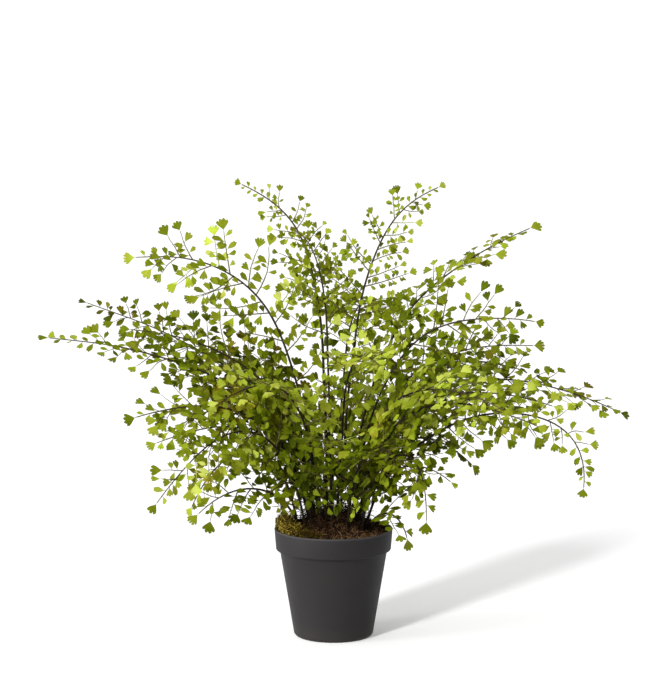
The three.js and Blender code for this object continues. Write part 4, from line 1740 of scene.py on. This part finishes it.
@dataclass
class Moss:
    """The moss: a low arc of humps on the soil inside the rim, with short strands all over it."""

    start: float = 148
    end: float = 252
    inner: float = 43.5
    outer: float = 56.4
    low: float = 2
    high: float = 14.5
    humps: float = 4.5
    hump_depth: float = 0.28
    end_round: float = 0.7
    skew: float = 1.6
    across: tuple[Pair, ...] = (
        *((0, 0), (0.5, 0), (1, 0), (1, 0.34), (0.97, 0.66), (0.87, 0.86)),
        *((0.72, 0.96), (0.55, 0.96), (0.38, 0.88), (0.2, 0.68), (0.05, 0.42)),
    )
    lift: float = 0.3
    lump: float = 1.1
    lump_width: float = 2.4
    lump_rise: float = 0.7
    lump_spread: float = 90
    steps: int = 90
    tuft: StrandKind = StrandKind(2700, (4, 12), (0.13, 0.36), 0.85, (0.0, 1.0))
    first_column: int = 3
    short_of_last: float = 1.01
    stray: float = 0.5
    root_depth: float = 2
    most_below: float = 57
    most_above: float = 59.6
    body_tone: float = 0.08
    front_tone: float = 0.5
    tone_run: float = 1.3
    seed: int = 72

    def section(self, share: float) -> Array:
        """The moss's outline across.

        Args:
            share: the place along its length, from 0 to 1.

        Returns:
            The points of the outline.
        """
        bearing = math.radians(lerp(self.end, self.start, share))
        swell = math.sin(math.pi * min(max(share, 0.001), 0.999) ** self.skew) ** self.end_round
        hump = 1 - self.hump_depth * math.sin(math.pi * self.humps * share) ** 2
        height = lerp(self.low, self.high, swell * hump)
        rows = []
        for out, up in self.across:
            radius = self.inner + out * (self.outer - self.inner)
            x, y = radius * math.cos(bearing), radius * math.sin(bearing)
            z = SOIL.shelf + self.lift + up * height
            if up > 0:
                rough = noise.noise(Vector((x, y, z)) / self.lump_width) * self.lump
                inward = 1 - rough / self.lump_spread
                x, y, z = x * inward, y * inward, z + rough * self.lump_rise
            rows.append((x, y, z))
        return np.array(rows)

    def build(self, effects: Effects) -> Object:
        """Makes the body and sets the strands on it.

        Args:
            effects: the shared node groups.

        Returns:
            The moss's object.
        """
        sections = np.array([self.section(share) for share in np.linspace(0, 1, self.steps)])
        width = sections.shape[1]
        points = np.concatenate([sections.reshape(-1, 3), sections[:1].mean(1), sections[-1:].mean(1)])
        skin = Skin()
        skin.add(points, ring_faces(self.steps, width), 0, {Mark.TONE: self.body_tone})
        strands = Strands(self.seed, self.most_below, self.most_above, SOIL.shelf)
        count = self.tuft.count
        rows = strands.draws.integers(1, self.steps - 1, count)
        columns = strands.draws.uniform(self.first_column, width - self.short_of_last, count)
        whole = columns.astype(int)
        part = (columns - whole)[:, None]
        starts = sections[rows, whole] * (1 - part) + sections[rows, whole + 1] * part
        starts = starts + strands.draws.normal(0, self.stray, starts.shape)
        ups = unit(starts - (sections[rows].mean(1) - np.array([0, 0, self.root_depth])))
        palest = np.minimum(1.0, self.front_tone + self.tone_run * rows / self.steps)
        strands.lay(skin, starts, ups, replace(self.tuft, tone=(0.0, palest)))
        return dress(skin.piece("moss_tuft", [MOSS_TANGLE.material(effects)], 80), "moss")


@dataclass
class Frond:
    """One frond: a wiry stem, fine side branches, and lobed leaflets on short stalks."""

    plan: Plan
    ring_step: float = 6
    stem_sides: int = 7
    branch_rings: int = 8
    branch_sides: int = 4
    stalk_sides: int = 3
    wander_size: float = 0.4
    wander_from: float = 40
    wander_waves: Pair = (17, 23)
    girth: Pair = (0.84, 1.1)
    branch_bow: float = 0.045
    branch_foot: float = 0.74
    branch_end: float = 0.34
    full_branch: float = 80
    zigzag: Pair = (0.1, 0.3)
    stem_swell: float = 1.28
    tip_stem_swell: float = 1.2
    side_swell: float = 1.25
    end_swell: float = 1.22
    lone_swell: float = 1.04
    tip_swell: float = 0.85
    size_spread: float = 0.13
    largest: float = 14.5
    oval_share: float = 0.4
    half_share: float = 0.75
    fan_share: float = 0.85
    stalk: float = 0.18
    stalk_width: float = 0.09
    stalk_growth: float = 0.016
    stalk_taper: float = 0.7
    tone_spread: float = 0.13
    tones: Pair = (0.06, 0.96)
    darkest: float = 0.04
    young_share: float = 0.035
    young_tone: float = 0.92
    shade: float = 0.42
    shade_radius: float = 130
    shade_height: float = 190
    stem_reach: float = 0.8
    stem_power: float = 1.5
    stalk_reach: float = 0.75
    young_reach: float = 1.25
    branch_reach: float = 0.35
    high_reach: float = 0.3
    inner_olive: float = 0.42
    olive_radius: float = 200
    olive_most: float = 1.08
    seed: int = 900

    def __post_init__(self) -> None:
        """Starts the frond's own row of random numbers."""
        self.draws = np.random.default_rng(self.seed + self.plan.number)
        self.phases = self.draws.uniform(*PHASES, 2)
        self.thickness = self.draws.uniform(*self.girth)
        self.stalks: list[tuple[Array, Array, Array, float]] = []
        self.spots: list[LeafSpot] = []

    def wander(self, place: float, axes: Axes) -> Array:
        """How far the fine stem strays from the middle line.

        Args:
            place: the distance along the line.
            axes: how the blade lies there.

        Returns:
            The shift.
        """
        grown = min(1.0, max(0.0, place / self.wander_from))
        first, second = np.sin(place / np.array(self.wander_waves) + self.phases) * self.wander_size
        return grown * (first * axes.side + second * axes.normal)

    def stem(self, skin: Skin) -> None:
        """Adds the stem, from its buried foot to its tip.

        Args:
            skin: the frond's skin.
        """
        spine = self.plan.spine
        foot, _ = spine.at(0)
        buried = foot - np.array([0, 0, STEM.buried])
        places = np.linspace(0, spine.length, int(spine.length / self.ring_step))
        path, radii = [buried, lerp(buried, foot, 0.5)], [STEM.foot, STEM.foot * self.stem_swell]
        for place in places:
            origin, axes = spine.at(place)
            path.append(origin + self.wander(place, axes))
            swell = lerp(self.stem_swell, self.tip_stem_swell, place / spine.length)
            radii.append(spine.half(place) * self.thickness * swell)
        points, triangles = tubes(np.array([path]), np.array([radii]), spine.across[None], self.stem_sides)
        shares = np.concatenate([[0, 0], places / spine.length]) ** self.stem_power * self.stem_reach
        reach = np.concatenate([np.repeat(shares, self.stem_sides), [0, self.stem_reach]])
        skin.add(points, triangles, 1, {Mark.REACH: reach})

    def form(self, side: bool) -> LeafForm:
        """Picks the form of a leaflet.

        Args:
            side: whether it stands at a branch's side, not at its end.

        Returns:
            The form.
        """
        pick = self.draws.uniform()
        if side:
            side_form = LeafForm.OVAL if pick < self.oval_share else LeafForm.HALF
            return side_form if pick < self.half_share else LeafForm.WEDGE
        return LeafForm.FAN if pick < self.fan_share else LeafForm.WEDGE

    def leaf(
        self, origin: Array, axes: Axes, size: float, hand: Hand, side: bool = True, young: bool = False
    ) -> None:
        """Notes down a leaflet and its stalk.

        Args:
            origin: where it leaves its rib.
            axes: how it lies.
            size: its planned length.
            hand: its side.
            side: whether it stands at a branch's side, not at its end.
            young: whether it is on a young pale branch.
        """
        form = self.form(side)
        tone = self.young_tone
        if not young:
            drawn = self.plan.spec.tone + self.draws.normal(0, self.tone_spread)
            tone = float(np.clip(drawn, *self.tones))
        # Partly painted shade and partly older leaves: leaflets low down and near the pot's axis are darker.
        inside = max(0.0, 1 - math.hypot(origin[0], origin[1]) / self.shade_radius)
        below = max(0.0, 1 - (origin[2] - SOIL.shelf) / self.shade_height)
        tone = max(self.darkest, tone - self.shade * inside * below)
        swell = self.side_swell if side else self.end_swell
        size = min(size * swell * float(np.exp(self.draws.normal(0, self.size_spread))), self.largest)
        self.stalks.append((origin, origin + axes.along * size * self.stalk, axes.normal, size))
        self.spots.append(LeafSpot(origin, axes, size, form, hand, tone))

    def branch(self, skin: Skin, branch: Branch) -> None:
        """Adds a side branch and notes down its leaflets.

        Args:
            skin: the frond's skin.
            branch: the settled branch.
        """
        origin, rib = self.plan.spine.at(branch.place)
        shift = self.wander(branch.place, rib)
        axes = branch.axes
        if branch.length == 0:
            self.leaf(origin + shift, axes, branch.size * self.lone_swell, branch.hand)
            return
        bow = self.draws.normal(0, self.branch_bow, 2) * branch.length
        zigzag = self.draws.uniform(*self.zigzag)

        def spot(place: float) -> Array:
            """The branch's middle at a distance along it.

            Args:
                place: the distance.

            Returns:
                The point.
            """
            bent = math.sin(math.pi * (place / branch.length)) * (bow[0] * axes.side + bow[1] * axes.normal)
            nod = zigzag * math.sin(place / LEAF.step * math.pi) * axes.side
            return branch.root + shift + axes.along * place + bent + nod

        places = np.linspace(0, branch.length, self.branch_rings - 1)
        path = np.array([origin + shift, *[spot(place) for place in places]])
        thick = self.branch_foot * min(1.0, 0.5 + branch.length / self.full_branch)
        radii = np.linspace(thick, self.branch_end, self.branch_rings)
        points, triangles = tubes(path[None], radii[None], axes.normal[None], self.branch_sides)
        young = self.draws.uniform() < self.young_share
        start = self.branch_reach + self.high_reach * branch.place / self.plan.spine.length
        start += self.inner_olive * max(0.0, 1 - math.hypot(origin[0], origin[1]) / self.olive_radius)
        run = np.minimum(np.linspace(start, start + self.branch_reach, self.branch_rings), self.olive_most)
        if young:
            run = np.full(self.branch_rings, self.young_reach)
        reach = np.concatenate([np.repeat(run, self.branch_sides), [run[0], run[-1]]])
        skin.add(points, triangles, 1, {Mark.REACH: reach})
        for leaf in branch.leaves:
            self.leaf(spot(leaf.place), leaf.axes, leaf.size, leaf.hand, True, young)
        self.leaf(spot(branch.length), axes, branch.size, branch.hand, False, young)

    def build(self, leaflets: Leaflets, materials: Sequence[Material]) -> Object:
        """Makes the frond in place of its solid.

        Args:
            leaflets: sets the leaflets in place.
            materials: of the leaflets and of the stems.

        Returns:
            The frond's object.
        """
        skin = Skin()
        self.stem(skin)
        for branch in self.plan.branches:
            self.branch(skin, branch)
        spine, size = self.plan.spine, self.plan.spec.leaf * self.tip_swell
        tip, axes = spine.at(spine.length)
        self.leaf(tip + self.wander(spine.length, axes), axes, size, Hand.LEFT, False)
        ends = np.array([[start, end] for start, end, _, _ in self.stalks])
        refs = np.array([normal for _, _, normal, _ in self.stalks])
        widths = np.array([[size * self.stalk_growth + self.stalk_width] for _, _, _, size in self.stalks])
        points, triangles = tubes(ends, widths * np.array([[1.0, self.stalk_taper]]), refs, self.stalk_sides)
        skin.add(points, triangles, 1, {Mark.REACH: self.stalk_reach})
        leaflets.set_in(skin, self.spots, 0)
        name = f"frond_{self.plan.number + 1:02d}"
        return dress(skin.piece(f"fern_{name}", materials), name)


@dataclass(frozen=True)
class SunShape:
    """A sun: its name and strength, its bearing left of the camera, its height and its softness."""

    name: str
    strength: float
    bearing: float
    height: float
    softness: float

    def build(self) -> Object:
        """Adds the sun to the scene.

        Returns:
            The sun's object.
        """
        lamp = bpy.data.lights.new(self.name, "SUN")
        lamp.energy = self.strength
        lamp.angle = math.radians(self.softness)
        bearing, height = math.radians(self.bearing), math.radians(self.height)
        level = math.cos(height)
        towards = Vector((-math.sin(bearing) * level, -math.cos(bearing) * level, math.sin(height)))
        return stand(self.name, lamp, towards=towards)


@dataclass
class Studio:
    """The pale floor, the soft light and the camera."""

    camera_spot: Point = (0.001, -2.97, 0.711)
    camera_aim: Point = (0.001, 0.0, 0.296)
    lens: float = 151.7
    floor_size: float = 300
    world_left: float = 0.84
    world_right: float = 0.3
    paper: FloorPaper = FloorPaper()
    key: SunShape = SunShape("key", 4.0, 32, 32, 7)
    floor_sun: SunShape = SunShape("floor sun", 6.6, 33, 10.5, 8)
    box_spot: Point = (-2.3, -0.9, 0.42)
    box_aim: Point = (0, 0, 0.2)
    box_size: float = 0.8
    box_power: float = 42

    def floor(self, effects: Effects) -> Object:
        """Lays the floor.

        Args:
            effects: the shared node groups.

        Returns:
            The floor.
        """
        half = self.floor_size / 2
        mesh = bpy.data.meshes.new("floor")
        corners = [(-half, -half, 0), (half, -half, 0), (half, half, 0), (-half, half, 0)]
        mesh.from_pydata(corners, [], [(0, 1, 2, 3)])
        mesh.materials.append(self.paper.material(effects))
        made = stand("floor", mesh)
        return made

    def light(self) -> None:
        """Sets the sky and the soft box at the left."""
        world = bpy.data.worlds.new("studio")
        world.use_nodes = True
        nodes = Nodes(world.node_tree)
        place = nodes.add("TexCoord").outputs["Generated"]
        across = nodes.add("SeparateXYZ", {0: place}).outputs["X"]
        run = {"Value": across, "From Min": -1.0, "To Min": self.world_left, "To Max": self.world_right}
        background = world.node_tree.nodes["Background"]
        background.inputs["Color"].default_value = (1, 1, 1, 1)
        nodes.tree.links.new(nodes.add("MapRange", run).outputs[0], background.inputs["Strength"])
        bpy.context.scene.world = world
        box = bpy.data.lights.new("soft box", "AREA")
        box.energy, box.size = self.box_power, self.box_size
        stand("soft box", box, self.box_spot, Vector(self.box_spot) - Vector(self.box_aim))

    def suns(self, floor: Object, pot: Object) -> None:
        """Sets one sun for the plant and one for the floor, where only the pot casts a shadow.

        Args:
            floor: the floor.
            pot: the pot.
        """
        plant_only, floor_only, shading = (
            bpy.data.collections.new(name)
            for name in ("lit by the key", "lit by the floor sun", "shades the floor")
        )
        plant_only.objects.link(floor)
        plant_only.collection_objects[0].light_linking.link_state = "EXCLUDE"
        self.key.build().light_linking.receiver_collection = plant_only
        floor_only.objects.link(floor)
        shading.objects.link(pot)
        links = self.floor_sun.build().light_linking
        links.receiver_collection, links.blocker_collection = floor_only, shading

    def camera(self) -> None:
        """Sets the camera where the picture was taken from."""
        lens = bpy.data.cameras.new("camera")
        lens.lens = self.lens
        lens.clip_start, lens.clip_end = 0.05, 600
        aim = Vector(self.camera_aim) - Vector(self.camera_spot)
        bpy.context.scene.camera = stand("camera", lens, self.camera_spot, aim, "-Z")

    def build(self, pot: Object, effects: Effects) -> None:
        """Sets up the whole studio.

        Args:
            pot: the pot, whose shadow falls on the floor.
            effects: the shared node groups.
        """
        self.camera()
        self.light()
        self.suns(self.floor(effects), pot)
        bpy.context.scene.view_settings.view_transform = "Standard"


def main() -> None:
    """Builds the studio and every piece in order, and reports each piece."""
    logging.basicConfig(level=logging.INFO, format="%(message)s")
    effects = Effects()
    pieces = [builder.build(effects) for builder in (Pot(), Soil(), Moss())]
    Studio().build(pieces[0], effects)
    leaflets = Leaflets()
    materials = [LeafGreen().material(effects), StemDark().material(effects)]
    pieces += [Frond(plan).build(leaflets, materials) for plan in Growth(FRONDS).plans]
    for made in pieces:
        log.info("%s: %d triangles", made.name, len(made.data.polygons))


if __name__ == "__main__":
    main()
